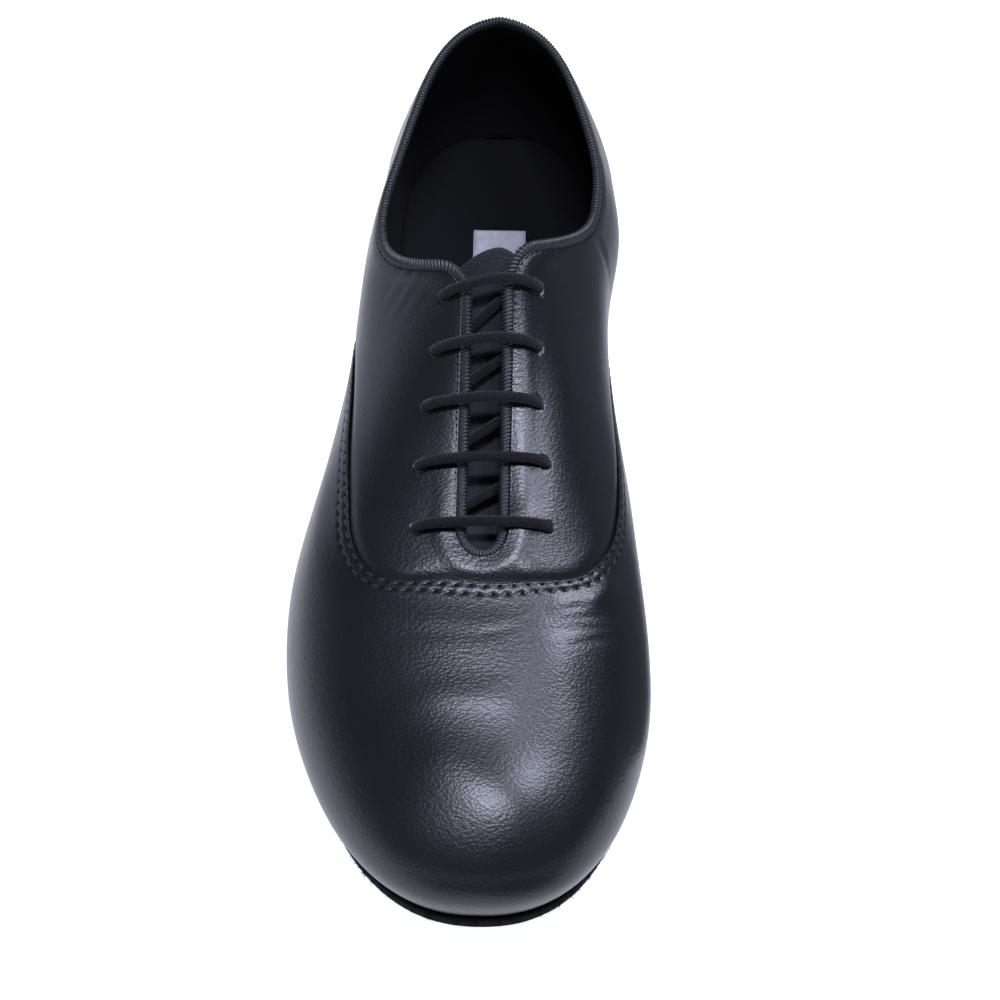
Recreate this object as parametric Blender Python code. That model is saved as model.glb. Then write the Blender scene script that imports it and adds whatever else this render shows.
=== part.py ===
"""Men's ballroom dance shoe, right foot: plain toe, closed lacing, suede sole, low heel.

Metres, +Z up, toe at -Y, inner (medial) side at +X, floor at Z = 0.
A station is a distance from the back of the heel towards the toe.
"""
import math

import bmesh
import bpy
import numpy as np

# Driving sizes
LENGTH = 0.282
BALL_WIDTH = 0.104
INSTEP_HEIGHT = 0.092
HEEL_HEIGHT = 0.0205

# Thicknesses and clearances
WALL = 0.0020
GAP = 0.0003
SOLE_THICKNESS = 0.0040
SOLE_EDGE = 0.0010
INSOLE_THICKNESS = 0.0028
TONGUE_THICKNESS = 0.0016

# Sections of the last, one row for each. Station is a share of LENGTH. Lateral, medial, ridge and the
# two feather columns are shares of BALL_WIDTH. Crown and bulge are shares of INSTEP_HEIGHT. Power is the
# section's roundness.
SECTION_COLUMNS = ("station", "lateral", "medial", "crown", "ridge", "bulge", "power",
                   "feather_lateral", "feather_medial")
SECTIONS = (
    (0.000, 0.312, 0.316, 0.700, 0.000, 0.217, 1.45, 0.277, 0.272),
    (0.053, 0.313, 0.320, 0.745, 0.000, 0.217, 1.25, 0.282, 0.275),
    (0.106, 0.316, 0.327, 0.815, 0.000, 0.217, 1.25, 0.284, 0.277),
    (0.163, 0.331, 0.345, 0.865, 0.000, 0.217, 1.40, 0.285, 0.277),
    (0.213, 0.350, 0.355, 0.840, 0.005, 0.217, 1.60, 0.283, 0.274),
    (0.291, 0.376, 0.330, 0.785, 0.012, 0.212, 1.95, 0.291, 0.262),
    (0.376, 0.403, 0.336, 0.668, 0.023, 0.196, 1.75, 0.312, 0.250),
    (0.489, 0.463, 0.384, 0.543, 0.028, 0.177, 1.85, 0.370, 0.279),
    (0.610, 0.535, 0.428, 0.448, 0.028, 0.140, 2.20, 0.472, 0.366),
    (0.716, 0.541, 0.456, 0.370, 0.018, 0.125, 2.25, 0.487, 0.413),
    (0.837, 0.490, 0.443, 0.312, 0.010, 0.114, 2.10, 0.442, 0.400),
    (1.000, 0.430, 0.429, 0.272, 0.000, 0.104, 2.00, 0.385, 0.385),
)

# Height of the collar's top on each side: station as a share of LENGTH, heights as shares of INSTEP_HEIGHT
COLLAR_COLUMNS = ("station", "lateral", "medial")
COLLAR = (
    (0.000, 0.924, 0.924),
    (0.106, 0.902, 0.908),
    (0.195, 0.878, 0.886),
    (0.325, 0.846, 0.864),
)

# Punched eyelets from the top pair down: station as a share of LENGTH, how much further forward the
# lateral one is, and their distances from the middle plane
EYELET_COLUMNS = ("station", "skew", "lateral", "medial")
EYELETS = (
    (0.401, 0.0018, 0.0137, 0.0129),
    (0.453, 0.0006, 0.0157, 0.0129),
    (0.506, 0.0002, 0.0178, 0.0135),
    (0.562, 0.0006, 0.0190, 0.0159),
    (0.628, 0.0004, 0.0196, 0.0171),
)

# Tongue: station as a share of LENGTH, half width, depth of its top face under the outer form
TONGUE_COLUMNS = ("station", "half_width", "depth")
TONGUE = (
    (0.370, 0.0190, 0.0058),
    (0.382, 0.0235, 0.0060),
    (0.450, 0.0250, 0.0063),
    (0.635, 0.0245, 0.0063),
    (0.675, 0.0225, 0.0050),
    (0.740, 0.0190, 0.0024),
)

# Ends of the last in plan: length and power of the superellipse that closes it
HEEL_NOSE = 0.133 * LENGTH
HEEL_POWER = 2.2
TOE_NOSE = 0.268 * LENGTH
TOE_POWER = 2.35
CROWN_NOSE = 0.103 * LENGTH
CROWN_POWER = 2.0
FEATHER_BACK = 0.014 * LENGTH
FEATHER_TIP = 0.988 * LENGTH

# Side profile of the sole
TOE_SPRING = 0.007
SEAT_RISE = 0.0040
BREAST = 0.216 * LENGTH
FLAT_BACK = 0.585 * LENGTH
FLAT_FRONT = 0.777 * LENGTH

# Heel block
HEEL_TAPER = 0.0015
BREAST_HOLLOW = 0.0025

# Opening: collar corners, throat and the length of the curves at its corners
CORNER_LATERAL = 0.356 * LENGTH
CORNER_MEDIAL = 0.340 * LENGTH
THROAT_TOP_LATERAL = 0.392 * LENGTH
THROAT_TOP_MEDIAL = 0.384 * LENGTH
THROAT_BOTTOM = 0.662 * LENGTH
THROAT_MIDDLE = -0.0012
THROAT_HALF = 0.0074
THROAT_ROUND = 0.0085
CORNER_ROUND = 0.0200
TOP_ROUND = 0.0080

# Stations on the widest line whose columns end at the heel turn, the collar corner, the throat's top
# and its round end
RAY_HEEL = 0.106 * LENGTH
RAY_CORNER = 0.262 * LENGTH
RAY_THROAT_TOP = 0.420 * LENGTH
RAY_THROAT_END = 0.690 * LENGTH

# Binding bead
BINDING_WIDTH = 0.0034
BINDING_THICKNESS = 0.0026
BINDING_POWER = 3.0
BINDING_SIDES = 8

# Lace
LACE_DIAMETER = 0.0029
LACE_OVER = 0.0026
LACE_UNDER = 0.0044
LACE_TURN = 0.0036
LACE_RISE = 0.0010
LACE_DROP = 0.0031
LACE_SIDES = 8
LACE_STEP = 0.0030
HIDDEN_RUN_OFFSET = 0.0050
EYELET_DIAMETER = 0.0048
EYELET_SIDES = 14

# Mesh divisions
STATIONS_PER_SIDE = 40
WRAP_ROWS = 4
SIDE_ROWS = 12
ROW_SPREAD = 1.15
SOLE_STATIONS = 44
HEEL_STATIONS = 20
BREAST_STEPS = 6
TONGUE_ROWS = 18
TONGUE_ACROSS = 10
ROUND_STEPS = 12
COLLAR_STEPS = 60
FINE_STEPS = 600

# Colours (linear RGB), roughness and metallic value
LOOKS = {
    "outsole": ((0.060, 0.056, 0.052), 0.95, 0.0),
    "heel": ((0.012, 0.012, 0.013), 0.55, 0.0),
    "insole": ((0.030, 0.030, 0.033), 0.85, 0.0),
    "upper": ((0.014, 0.014, 0.017), 0.38, 0.0),
    "tongue": ((0.015, 0.015, 0.018), 0.45, 0.0),
    "topline_binding": ((0.010, 0.010, 0.012), 0.70, 0.0),
    "lace": ((0.008, 0.008, 0.010), 0.75, 0.0),
}


def spline(xs, ys):
    """Natural cubic spline through the given values, as a function."""
    xs, ys = np.asarray(xs, float), np.asarray(ys, float)
    count, step = len(xs), np.diff(xs)
    matrix, right = np.eye(count), np.zeros(count)
    for i in range(1, count - 1):
        matrix[i, i - 1:i + 2] = step[i - 1], 2 * (step[i - 1] + step[i]), step[i]
        right[i] = 6 * ((ys[i + 1] - ys[i]) / step[i] - (ys[i] - ys[i - 1]) / step[i - 1])
    bend = np.linalg.solve(matrix, right)

    def value(x):
        x = np.clip(np.asarray(x, float), xs[0], xs[-1])
        i = np.clip(np.searchsorted(xs, x) - 1, 0, count - 2)
        q = (x - xs[i]) / step[i]
        p = 1 - q
        curve = (p ** 3 - p) * bend[i] + (q ** 3 - q) * bend[i + 1]
        return p * ys[i] + q * ys[i + 1] + curve * step[i] ** 2 / 6

    return value


def table_curves(columns, rows, sizes):
    """One spline over the station for each column of a table, each scaled by its driving size."""
    data = np.array(rows)
    return {name: spline(data[:, 0] * LENGTH, data[:, i] * sizes[name])
            for i, name in enumerate(columns) if i > 0}


SECTION = table_curves(SECTION_COLUMNS, SECTIONS, {
    "lateral": BALL_WIDTH, "medial": BALL_WIDTH, "crown": INSTEP_HEIGHT, "ridge": BALL_WIDTH,
    "bulge": INSTEP_HEIGHT, "power": 1.0, "feather_lateral": BALL_WIDTH, "feather_medial": BALL_WIDTH})
COLLAR_TOP = table_curves(COLLAR_COLUMNS, COLLAR, {"lateral": INSTEP_HEIGHT, "medial": INSTEP_HEIGHT})
TONGUE_FORM = table_curves(TONGUE_COLUMNS, TONGUE, {"half_width": 1.0, "depth": 1.0})

LATERAL, MEDIAL = -1.0, 1.0


def superellipse(share, power):
    """Height of a unit superellipse at a share of its half width."""
    return (1 - np.clip(share, 0, 1) ** power) ** (1 / power)


def nose(station, back=0.0, tip=LENGTH):
    """Share of the full half width left at a station, falling to nothing at the heel back and the toe tip."""
    heel = superellipse((back + HEEL_NOSE - station) / HEEL_NOSE, HEEL_POWER)
    toe = superellipse((station - tip + TOE_NOSE) / TOE_NOSE, TOE_POWER)
    return heel * toe


def crown_nose(station):
    """Share of the crown left at a station: a short rise at the heel and the toe's own end."""
    heel = superellipse((CROWN_NOSE - station) / CROWN_NOSE, CROWN_POWER)
    toe = superellipse((station - LENGTH + TOE_NOSE) / TOE_NOSE, TOE_POWER)
    return heel * toe


def sole_bottom(station):
    """Height of the outsole's underside: toe spring, flat forefoot, arch and sloping heel seat."""
    station = np.asarray(station, float)
    spring = TOE_SPRING * np.clip((station - FLAT_FRONT) / (LENGTH - FLAT_FRONT), 0, 1) ** 2
    slope = SEAT_RISE / BREAST
    run = FLAT_BACK - BREAST
    t = np.clip((FLAT_BACK - station) / run, 0, 1)
    arch = HEEL_HEIGHT * (3 * t ** 2 - 2 * t ** 3) + slope * run * (t ** 3 - t ** 2)
    return spring + arch + slope * np.clip(BREAST - station, 0, None)


def sole_top(station):
    return sole_bottom(station) + SOLE_THICKNESS


def feather_height(station):
    return sole_top(station) + GAP


def bulge_height(station):
    return feather_height(station) + SECTION["bulge"](station)


def ridge_height(station):
    return bulge_height(station) + SECTION["crown"](station) * crown_nose(station)


def side_value(name, station, side):
    """A lateral or medial column, by side."""
    lateral, medial = SECTION[name + "lateral"](station), SECTION[name + "medial"](station)
    return np.where(np.asarray(side) < 0, lateral, medial)


def wall_x(station, side):
    """The last's widest line in plan."""
    return side * side_value("", station, side) * nose(station)


def feather_x(station, side):
    """The line where the upper meets the sole in plan."""
    return side * side_value("feather_", station, side) * nose(station, FEATHER_BACK, FEATHER_TIP)


def ridge_x(station):
    return SECTION["ridge"](station) * nose(station)


def form_height(x, station):
    """Height of the last's outer form over a point in plan."""
    middle = ridge_x(station)
    side = np.where(x < middle, LATERAL, MEDIAL)
    half = np.maximum(np.abs(wall_x(station, side) - middle), 1e-9)
    share = np.abs(x - middle) / half
    rise = ridge_height(station) - bulge_height(station)
    return bulge_height(station) + rise * superellipse(share, SECTION["power"](station))


def form_x(station, height, side):
    """Where the last's section at a station has a given height, on one side."""
    rise = np.maximum(ridge_height(station) - bulge_height(station), 1e-9)
    share = superellipse((height - bulge_height(station)) / rise, SECTION["power"](station))
    return ridge_x(station) + share * (wall_x(station, side) - ridge_x(station))


def widest(side):
    return np.max(np.abs(wall_x(np.linspace(0, LENGTH, FINE_STEPS), side)))


# The last's middle plane lies off the middle of the whole width, because the outer ball stands further out
MIDDLE_PLANE_X = (widest(LATERAL) - widest(MEDIAL)) / 2


def world(x, station, height):
    """Place in plan, from the last's middle plane, and height as points in the part's frame."""
    x, station, height = (np.asarray(value, float) for value in (x, station, height))
    return np.stack(np.broadcast_arrays(x + MIDDLE_PLANE_X, LENGTH / 2 - station, height), -1)


def on_form(x, station):
    return world(x, station, form_height(np.asarray(x, float), np.asarray(station, float)))


def form_normal(x, station, step=0.0004):
    """Outward normal of the last's form at a point in plan."""
    across = on_form(x + step, station) - on_form(x - step, station)
    along = on_form(x, station - step) - on_form(x, station + step)
    normal = np.cross(across, along)
    return normal / np.linalg.norm(normal, axis=-1, keepdims=True)


def off_form(x, station, lift):
    """A point above (or, with a negative lift, under) the last's form."""
    x, station = np.asarray(x, float), np.asarray(station, float)
    return on_form(x, station) + np.asarray(lift, float)[..., None] * form_normal(x, station)


def run_lengths(points):
    return np.concatenate([[0.0], np.cumsum(np.linalg.norm(np.diff(points, axis=0), axis=1))])


def resample(points, places):
    """Points of a polyline at given distances along it."""
    lengths = run_lengths(points)
    return np.stack([np.interp(places, lengths, points[:, k]) for k in range(points.shape[1])], -1)


def cosine_steps(count):
    return (1 - np.cos(np.linspace(0, math.pi, count))) / 2


def rim_height(station, side):
    """Height of the upper's cut edge at the collar, under the binding."""
    return np.where(side < 0, COLLAR_TOP["lateral"](station), COLLAR_TOP["medial"](station)) - BINDING_WIDTH


def collar_back_station():
    """Station where the back of the heel reaches the collar's cut edge."""
    stations = CROWN_NOSE * np.linspace(0, 1, FINE_STEPS) ** 2
    return np.interp(0.0, ridge_height(stations) - rim_height(stations, LATERAL), stations)


def corner_curve(start, corner, end):
    """Quadratic curve that rounds a corner."""
    t = np.linspace(0, 1, ROUND_STEPS)[:, None]
    return (1 - t) ** 2 * start + 2 * t * (1 - t) * corner + t ** 2 * end


def opening_side(side):
    """One side of the opening's edge in plan, from the heel back to the throat's end, with its named places.

    Returns the (x, station) points and the distances along them of the heel turn, the start of the
    collar's corner, the throat's top corner and the start of the throat's round end.
    """
    corner_station, top_station = ((CORNER_LATERAL, THROAT_TOP_LATERAL) if side < 0
                                   else (CORNER_MEDIAL, THROAT_TOP_MEDIAL))
    back = collar_back_station()
    stations = back + (corner_station - CORNER_ROUND - back) * (np.linspace(0, 1, COLLAR_STEPS) ** 2)
    collar = np.stack([form_x(stations, rim_height(stations, side), side), stations], -1)
    collar[0, 0] = 0.0
    forward = collar[-1] - collar[-2]
    corner = collar[-1] + forward / np.linalg.norm(forward) * CORNER_ROUND
    top = np.array([THROAT_MIDDLE + side * THROAT_HALF, top_station])
    edge = (top - corner) / np.linalg.norm(top - corner)
    round_start = np.array([top[0], THROAT_BOTTOM - THROAT_ROUND])
    down = np.array([0.0, 1.0])
    turn = np.linspace(0, math.pi / 2, ROUND_STEPS)
    end = np.stack([THROAT_MIDDLE + side * THROAT_HALF * np.cos(turn),
                    round_start[1] + THROAT_ROUND * np.sin(turn)], -1)
    top_start = top - edge * TOP_ROUND
    stretches = [collar, corner_curve(collar[-1], corner, top_start)[1:],
                 corner_curve(top_start, top, top + down * TOP_ROUND)[1:], end]
    points = np.concatenate(stretches)
    lengths = run_lengths(points)
    nearest = [lengths[np.argmin(np.linalg.norm(points - place, axis=1))]
               for place in ((form_x(RAY_HEEL, rim_height(RAY_HEEL, side), side), RAY_HEEL),
                             collar[-1], top, round_start)]
    return points, nearest


def even_stations():
    """Stations that are evenly spaced along the widest line, from the heel back to the toe tip."""
    fine = LENGTH * cosine_steps(FINE_STEPS)
    lengths = run_lengths(np.stack([wall_x(fine, LATERAL), fine], -1))
    return np.interp(np.linspace(0, lengths[-1], STATIONS_PER_SIDE + 1), lengths, fine)


def opening_points(side):
    """The opening's edge in plan, one point for each station on the widest line."""
    points, places = opening_side(side)
    fine = LENGTH * cosine_steps(FINE_STEPS)
    wall_lengths = run_lengths(np.stack([wall_x(fine, side), fine], -1))
    anchors = np.interp([RAY_HEEL, RAY_CORNER, RAY_THROAT_TOP, RAY_THROAT_END], fine, wall_lengths)
    at = np.interp(np.interp(even_stations(), fine, wall_lengths),
                   [0.0, *anchors, wall_lengths[-1]], [0.0, *places, run_lengths(points)[-1]])
    return resample(points, at)


def wrap_point(share, feather, bulge):
    """Between the feather line and the widest line: leaves the sole at a slant and ends upright."""
    plan = feather[..., :2] + (bulge[..., :2] - feather[..., :2]) * (2 * share - share ** 2)
    height = feather[..., 2:] + (bulge[..., 2:] - feather[..., 2:]) * share
    return np.concatenate([plan, height], -1)


def side_column(station, x, edge, rows):
    """Points from the widest line up over the form to the opening's edge, closer together near the foot."""
    share = np.linspace(0, 1, FINE_STEPS) ** 2
    xs = x + (edge[0] - x) * share
    stations = station + (edge[1] - station) * share
    points = on_form(xs, stations)
    points[0, 2] = bulge_height(station)
    return resample(points, run_lengths(points)[-1] * np.linspace(0, 1, rows + 1) ** ROW_SPREAD)


def upper_grid():
    """Outer face of the upper: a closed loop of columns, each from the feather line to the opening's edge."""
    stations = even_stations()
    feather_stations = FEATHER_BACK + (FEATHER_TIP - FEATHER_BACK) * stations / LENGTH
    sides = {}
    for side in (LATERAL, MEDIAL):
        edges = opening_points(side)
        columns = []
        for station, low, edge in zip(stations, feather_stations, edges):
            wall = wall_x(station, side)
            bulge = world(wall, station, bulge_height(station))
            feather = world(feather_x(low, side), low, feather_height(low))
            wrap = [wrap_point(k / WRAP_ROWS, feather, bulge) for k in range(WRAP_ROWS)]
            columns.append(np.concatenate([wrap, side_column(station, wall, edge, SIDE_ROWS)]))
        sides[side] = columns
    return np.array(sides[LATERAL] + sides[MEDIAL][-2:0:-1])


def grid_normals(grid):
    """Outward normals of a grid that is closed in its first direction."""
    around = np.roll(grid, -1, 0) - np.roll(grid, 1, 0)
    up = np.gradient(grid, axis=1)
    normal = np.cross(up, around)
    normal /= np.linalg.norm(normal, axis=-1, keepdims=True)
    middle = grid.reshape(-1, 3).mean(0)
    return normal if np.mean(normal * (grid - middle)) > 0 else -normal


def inner_grid(grid, normals):
    """Inner face of the wall. Its lowest row stays on the sole."""
    inner = grid - WALL * normals
    low = grid[:, 0].copy()
    plan = normals[:, 0].copy()
    slant = np.linalg.norm(plan[:, :2], axis=1, keepdims=True)
    low[:, :2] -= plan[:, :2] / slant ** 2 * WALL
    low[:, 2] = feather_height(LENGTH / 2 - low[:, 1])
    inner[:, 0] = low
    return inner


def new_object(name, mesh_builder):
    """A named object with its own material, from a closed bmesh."""
    bm = bmesh.new()
    mesh_builder(bm)
    bmesh.ops.recalc_face_normals(bm, faces=bm.faces)
    mesh = bpy.data.meshes.new(name)
    bm.to_mesh(mesh)
    bm.free()
    shape = bpy.data.objects.new(name, mesh)
    bpy.context.scene.collection.objects.link(shape)
    colour, roughness, metallic = LOOKS[name]
    material = bpy.data.materials.new(name)
    material.use_nodes = True
    shader = material.node_tree.nodes["Principled BSDF"]
    shader.inputs["Base Color"].default_value = (*colour, 1.0)
    shader.inputs["Roughness"].default_value = roughness
    shader.inputs["Metallic"].default_value = metallic
    mesh.materials.append(material)
    return shape


def add_grid(bm, grid):
    return [[bm.verts.new(point) for point in row] for row in grid]


def bridge(bm, first, second, closed=True):
    """Quads between two rows of vertices."""
    count = len(first)
    for i in range(count if closed else count - 1):
        j = (i + 1) % count
        bm.faces.new((first[i], first[j], second[j], second[i]))


def column(verts, index):
    return [row[index] for row in verts]


def shell(outer, inner):
    """Closed wall between two grids that are loops in their first direction."""
    def build(bm):
        out_verts, in_verts = add_grid(bm, outer), add_grid(bm, inner)
        for k in range(outer.shape[1] - 1):
            bridge(bm, column(out_verts, k), column(out_verts, k + 1))
            bridge(bm, column(in_verts, k), column(in_verts, k + 1))
        for k in (0, -1):
            bridge(bm, column(out_verts, k), column(in_verts, k))
    return build


def slab(left_top, right_top, left_bottom, right_bottom):
    """Closed solid between left and right edge lines that run from end to end, without end points."""
    def build(bm):
        rows = [add_grid(bm, [line])[0] for line in (left_top, right_top, right_bottom, left_bottom)]
        for first, second in zip(rows, rows[1:] + rows[:1]):
            bridge(bm, first, second, closed=False)
        for end in (0, -1):
            bm.faces.new([row[end] for row in rows])
    return build


def sole_outline(station, side, edge):
    """Outline of a layer of the sole: the feather line moved out (or in) by an edge width."""
    half = side_value("feather_", station, side) + edge
    return side * half * nose(station, FEATHER_BACK - edge, FEATHER_TIP + edge)


def sole_layer(edge, bottom, top):
    """A layer that follows the sole's profile between two height functions."""
    share = cosine_steps(SOLE_STATIONS + 2)[1:-1]
    start, end = FEATHER_BACK - edge, FEATHER_TIP + edge
    stations = start + (end - start) * share
    left, right = sole_outline(stations, LATERAL, edge), sole_outline(stations, MEDIAL, edge)
    return slab(world(left, stations, top(stations)), world(right, stations, top(stations)),
                world(left, stations, bottom(stations)), world(right, stations, bottom(stations)))


def make_outsole():
    return new_object("outsole", sole_layer(SOLE_EDGE, sole_bottom, sole_top))


def make_insole(inner, normals):
    """Footbed inside the upper's wall: its outline is the wall's lowest inner row, moved in by the gap."""
    plan = normals[:, 0, :2]
    rim = inner[:, 0].copy()
    rim[:, :2] -= plan / np.linalg.norm(plan, axis=1, keepdims=True) * GAP
    rim[:, 2] = feather_height(LENGTH / 2 - rim[:, 1])
    left, right = rim[1:STATIONS_PER_SIDE], rim[:STATIONS_PER_SIDE:-1]
    lift = np.array([0.0, 0.0, INSOLE_THICKNESS])
    return new_object("insole", slab(left + lift, right + lift, left, right))


def make_heel():
    """Heel block: the sole's outline at the top, drawn in a little at the floor, with a hollow breast."""
    start = FEATHER_BACK - SOLE_EDGE
    share = np.sin(np.arange(1, HEEL_STATIONS + 1) / HEEL_STATIONS * math.pi / 2) ** 2
    stations = start + (BREAST - start) * share
    rings = []
    for height, taper in ((None, 0.0), (0.0, HEEL_TAPER)):
        left = sole_outline(stations, LATERAL, SOLE_EDGE - taper)
        right = sole_outline(stations, MEDIAL, SOLE_EDGE - taper)
        across = np.arange(1, BREAST_STEPS) / BREAST_STEPS
        hollow = BREAST - BREAST_HOLLOW * np.sin(across * math.pi)
        xs = np.concatenate([left, left[-1] + (right[-1] - left[-1]) * across, right[::-1]])
        along = np.concatenate([stations, hollow, stations[::-1]])
        z = sole_bottom(along) - GAP if height is None else np.full(along.shape, height)
        rings.append(world(xs, along + taper * (1 - along / BREAST), z))

    def build(bm):
        top, bottom = add_grid(bm, rings)
        bridge(bm, top, bottom)
        bm.faces.new(bottom)
        bm.faces.new(top)
    return new_object("heel", build)


def eyelet_places():
    """Plan places of the eyelets from the top pair down: (lateral, medial) pairs of (x, station)."""
    places = []
    for row in EYELETS:
        eyelet = dict(zip(EYELET_COLUMNS, row))
        station = eyelet["station"] * LENGTH
        places.append(((-eyelet["lateral"], station + eyelet["skew"]), (eyelet["medial"], station)))
    return places


def punch_eyelets(upper):
    """Cuts the eyelet holes through the upper's wall."""
    bm = bmesh.new()
    angles = np.arange(EYELET_SIDES) * 2 * math.pi / EYELET_SIDES
    for x, station in [place for pair in eyelet_places() for place in pair]:
        normal = form_normal(x, station)
        across = np.cross(normal, [0.0, 1.0, 0.0])
        across /= np.linalg.norm(across)
        along = np.cross(normal, across)
        ring = EYELET_DIAMETER / 2 * (np.cos(angles)[:, None] * across + np.sin(angles)[:, None] * along)
        top, bottom = add_grid(bm, [off_form(x, station, lift) + ring for lift in (WALL, -2 * WALL)])
        bridge(bm, top, bottom)
        bm.faces.new(top)
        bm.faces.new(bottom)
    bmesh.ops.recalc_face_normals(bm, faces=bm.faces)
    mesh = bpy.data.meshes.new("eyelet_punch")
    bm.to_mesh(mesh)
    bm.free()
    punch = bpy.data.objects.new("eyelet_punch", mesh)
    bpy.context.scene.collection.objects.link(punch)
    cut = upper.modifiers.new("eyelets", "BOOLEAN")
    cut.operation = "DIFFERENCE"
    cut.object = punch
    result = upper.evaluated_get(bpy.context.evaluated_depsgraph_get())
    whole = upper.data
    upper.modifiers.clear()
    upper.data = bpy.data.meshes.new_from_object(result)
    bpy.data.meshes.remove(whole)
    bpy.data.objects.remove(punch)


def make_upper(outer, inner):
    upper = new_object("upper", shell(outer, inner))
    punch_eyelets(upper)
    return upper


def make_binding(outer, normals):
    """Closed bead on the upper's cut edge, round collar and throat."""
    edge, normal = outer[:, -1], normals[:, -1]
    tangent = np.roll(edge, -1, 0) - np.roll(edge, 1, 0)
    inward = np.cross(normal, tangent)
    inward /= np.linalg.norm(inward, axis=1, keepdims=True)
    if np.mean(inward * (outer[:, -1] - outer[:, -2])) < 0:
        inward = -inward
    centre = edge - normal * WALL / 2 + inward * (GAP + BINDING_WIDTH / 2)
    angles = (np.arange(BINDING_SIDES) + 0.5) * 2 * math.pi / BINDING_SIDES
    rings = []
    for angle in angles:
        c, s = math.cos(angle), math.sin(angle)
        reach = (abs(c) ** BINDING_POWER + abs(s) ** BINDING_POWER) ** (-1 / BINDING_POWER)
        rings.append(centre + inward * (BINDING_WIDTH / 2 * c * reach)
                     + normal * (BINDING_THICKNESS / 2 * s * reach))

    def build(bm):
        loops = add_grid(bm, rings)
        for first, second in zip(loops, loops[1:] + loops[:1]):
            bridge(bm, first, second)
    return new_object("topline_binding", build)


def make_tongue():
    """Leaf under the facings: two faces that follow the form at the table's depth."""
    stations = np.linspace(TONGUE[0][0], TONGUE[-1][0], TONGUE_ROWS) * LENGTH
    across = np.linspace(-1, 1, TONGUE_ACROSS)
    faces = []
    for extra in (0.0, TONGUE_THICKNESS):
        faces.append([off_form(THROAT_MIDDLE + across * TONGUE_FORM["half_width"](station),
                               np.full(TONGUE_ACROSS, station),
                               np.full(TONGUE_ACROSS, -TONGUE_FORM["depth"](station) - extra))
                      for station in stations])

    def build(bm):
        top, bottom = (add_grid(bm, rows) for rows in faces)
        for rows in (top, bottom):
            for first, second in zip(rows, rows[1:]):
                bridge(bm, first, second, closed=False)
        for end in (0, -1):
            bridge(bm, top[end], bottom[end], closed=False)
            bridge(bm, column(top, end), column(bottom, end), closed=False)
    return new_object("tongue", build)


def smooth_path(points, step):
    """Catmull-Rom curve through the points, read at even steps."""
    points = np.asarray(points)
    ends = np.concatenate([2 * points[:1] - points[1:2], points, 2 * points[-1:] - points[-2:-1]])
    t = np.linspace(0, 1, ROUND_STEPS, endpoint=False)[:, None]
    pieces = []
    for a, b, c, d in zip(ends, ends[1:], ends[2:], ends[3:]):
        pieces.append(0.5 * (2 * b + (c - a) * t + (2 * a - 5 * b + 4 * c - d) * t ** 2
                             + (3 * b - a - 3 * c + d) * t ** 3))
    curve = np.concatenate(pieces + [points[-1:]])
    total = run_lengths(curve)[-1]
    return resample(curve, np.linspace(0, total, int(round(total / step)) + 1))


def lace_run(start, end, lift, count=5):
    """Points between two eyelets at one lift, starting and ending a turn's length inside them."""
    start, end = np.array(start), np.array(end)
    direction = (end - start) / np.linalg.norm(end - start)
    first, last = start + direction * LACE_TURN, end - direction * LACE_TURN
    plan = first + (last - first) * np.linspace(0, 1, count)[:, None]
    return [off_form(x, station, lift) for x, station in plan]


def through(place, lifts):
    return [off_form(place[0], place[1], lift) for lift in lifts]


def lace_route():
    """The lace from its hidden end at the top of the medial side to that at the top lateral eyelet."""
    pairs = eyelet_places()
    up = (-LACE_DROP, -WALL / 2, LACE_RISE)
    down = up[::-1]
    points = [off_form(medial[0] + HIDDEN_RUN_OFFSET, medial[1], -LACE_UNDER) for _, medial in pairs]
    route = points[:-1] + [off_form(pairs[-1][1][0] + LACE_TURN, pairs[-1][1][1], -LACE_UNDER)]
    for k in range(len(pairs) - 1, -1, -1):
        lateral, medial = pairs[k]
        route += through(medial, up) + lace_run(medial, lateral, LACE_OVER) + through(lateral, down)
        if k > 0:
            route += lace_run(lateral, pairs[k - 1][1], -LACE_UNDER)
    hidden = np.array(pairs[0][0]) + np.array([LACE_TURN, 0.0])
    return route + [off_form(hidden[0], hidden[1], -LACE_UNDER)]


def make_lace():
    """Round tube along the lace's route."""
    path = smooth_path(lace_route(), LACE_STEP)
    tangents = np.gradient(path, axis=0)
    tangents /= np.linalg.norm(tangents, axis=1, keepdims=True)
    side = np.cross(tangents[0], [0.0, 0.0, 1.0])
    angles = np.arange(LACE_SIDES) * 2 * math.pi / LACE_SIDES
    rings = []
    for point, tangent in zip(path, tangents):
        side = side - tangent * (side @ tangent)
        side /= np.linalg.norm(side)
        other = np.cross(tangent, side)
        rings.append(point + LACE_DIAMETER / 2
                     * (np.cos(angles)[:, None] * side + np.sin(angles)[:, None] * other))

    def build(bm):
        loops = add_grid(bm, rings)
        for first, second in zip(loops, loops[1:]):
            bridge(bm, first, second)
        bm.faces.new(loops[0])
        bm.faces.new(loops[-1])
    return new_object("lace", build)


def main():
    for leftover in list(bpy.data.objects):
        bpy.data.objects.remove(leftover, do_unlink=True)
    outer = upper_grid()
    normals = grid_normals(outer)
    inner = inner_grid(outer, normals)
    make_outsole()
    make_heel()
    make_insole(inner, normals)
    make_upper(outer, inner)
    make_binding(outer, normals)
    make_tongue()
    make_lace()


main()
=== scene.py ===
"""Looks of the ballroom dance shoe: leather upper, ribbed binding, cord lace, suede sole, studio light.

Metres, +Z up, toe at -Y, inner (medial) side at +X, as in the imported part.
A station is a distance from the back of the heel towards the toe. Plan places are (x, station),
with x from the last's middle plane.
"""
import math

import bmesh
import bpy
import numpy as np
from mathutils import Matrix, Vector

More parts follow.
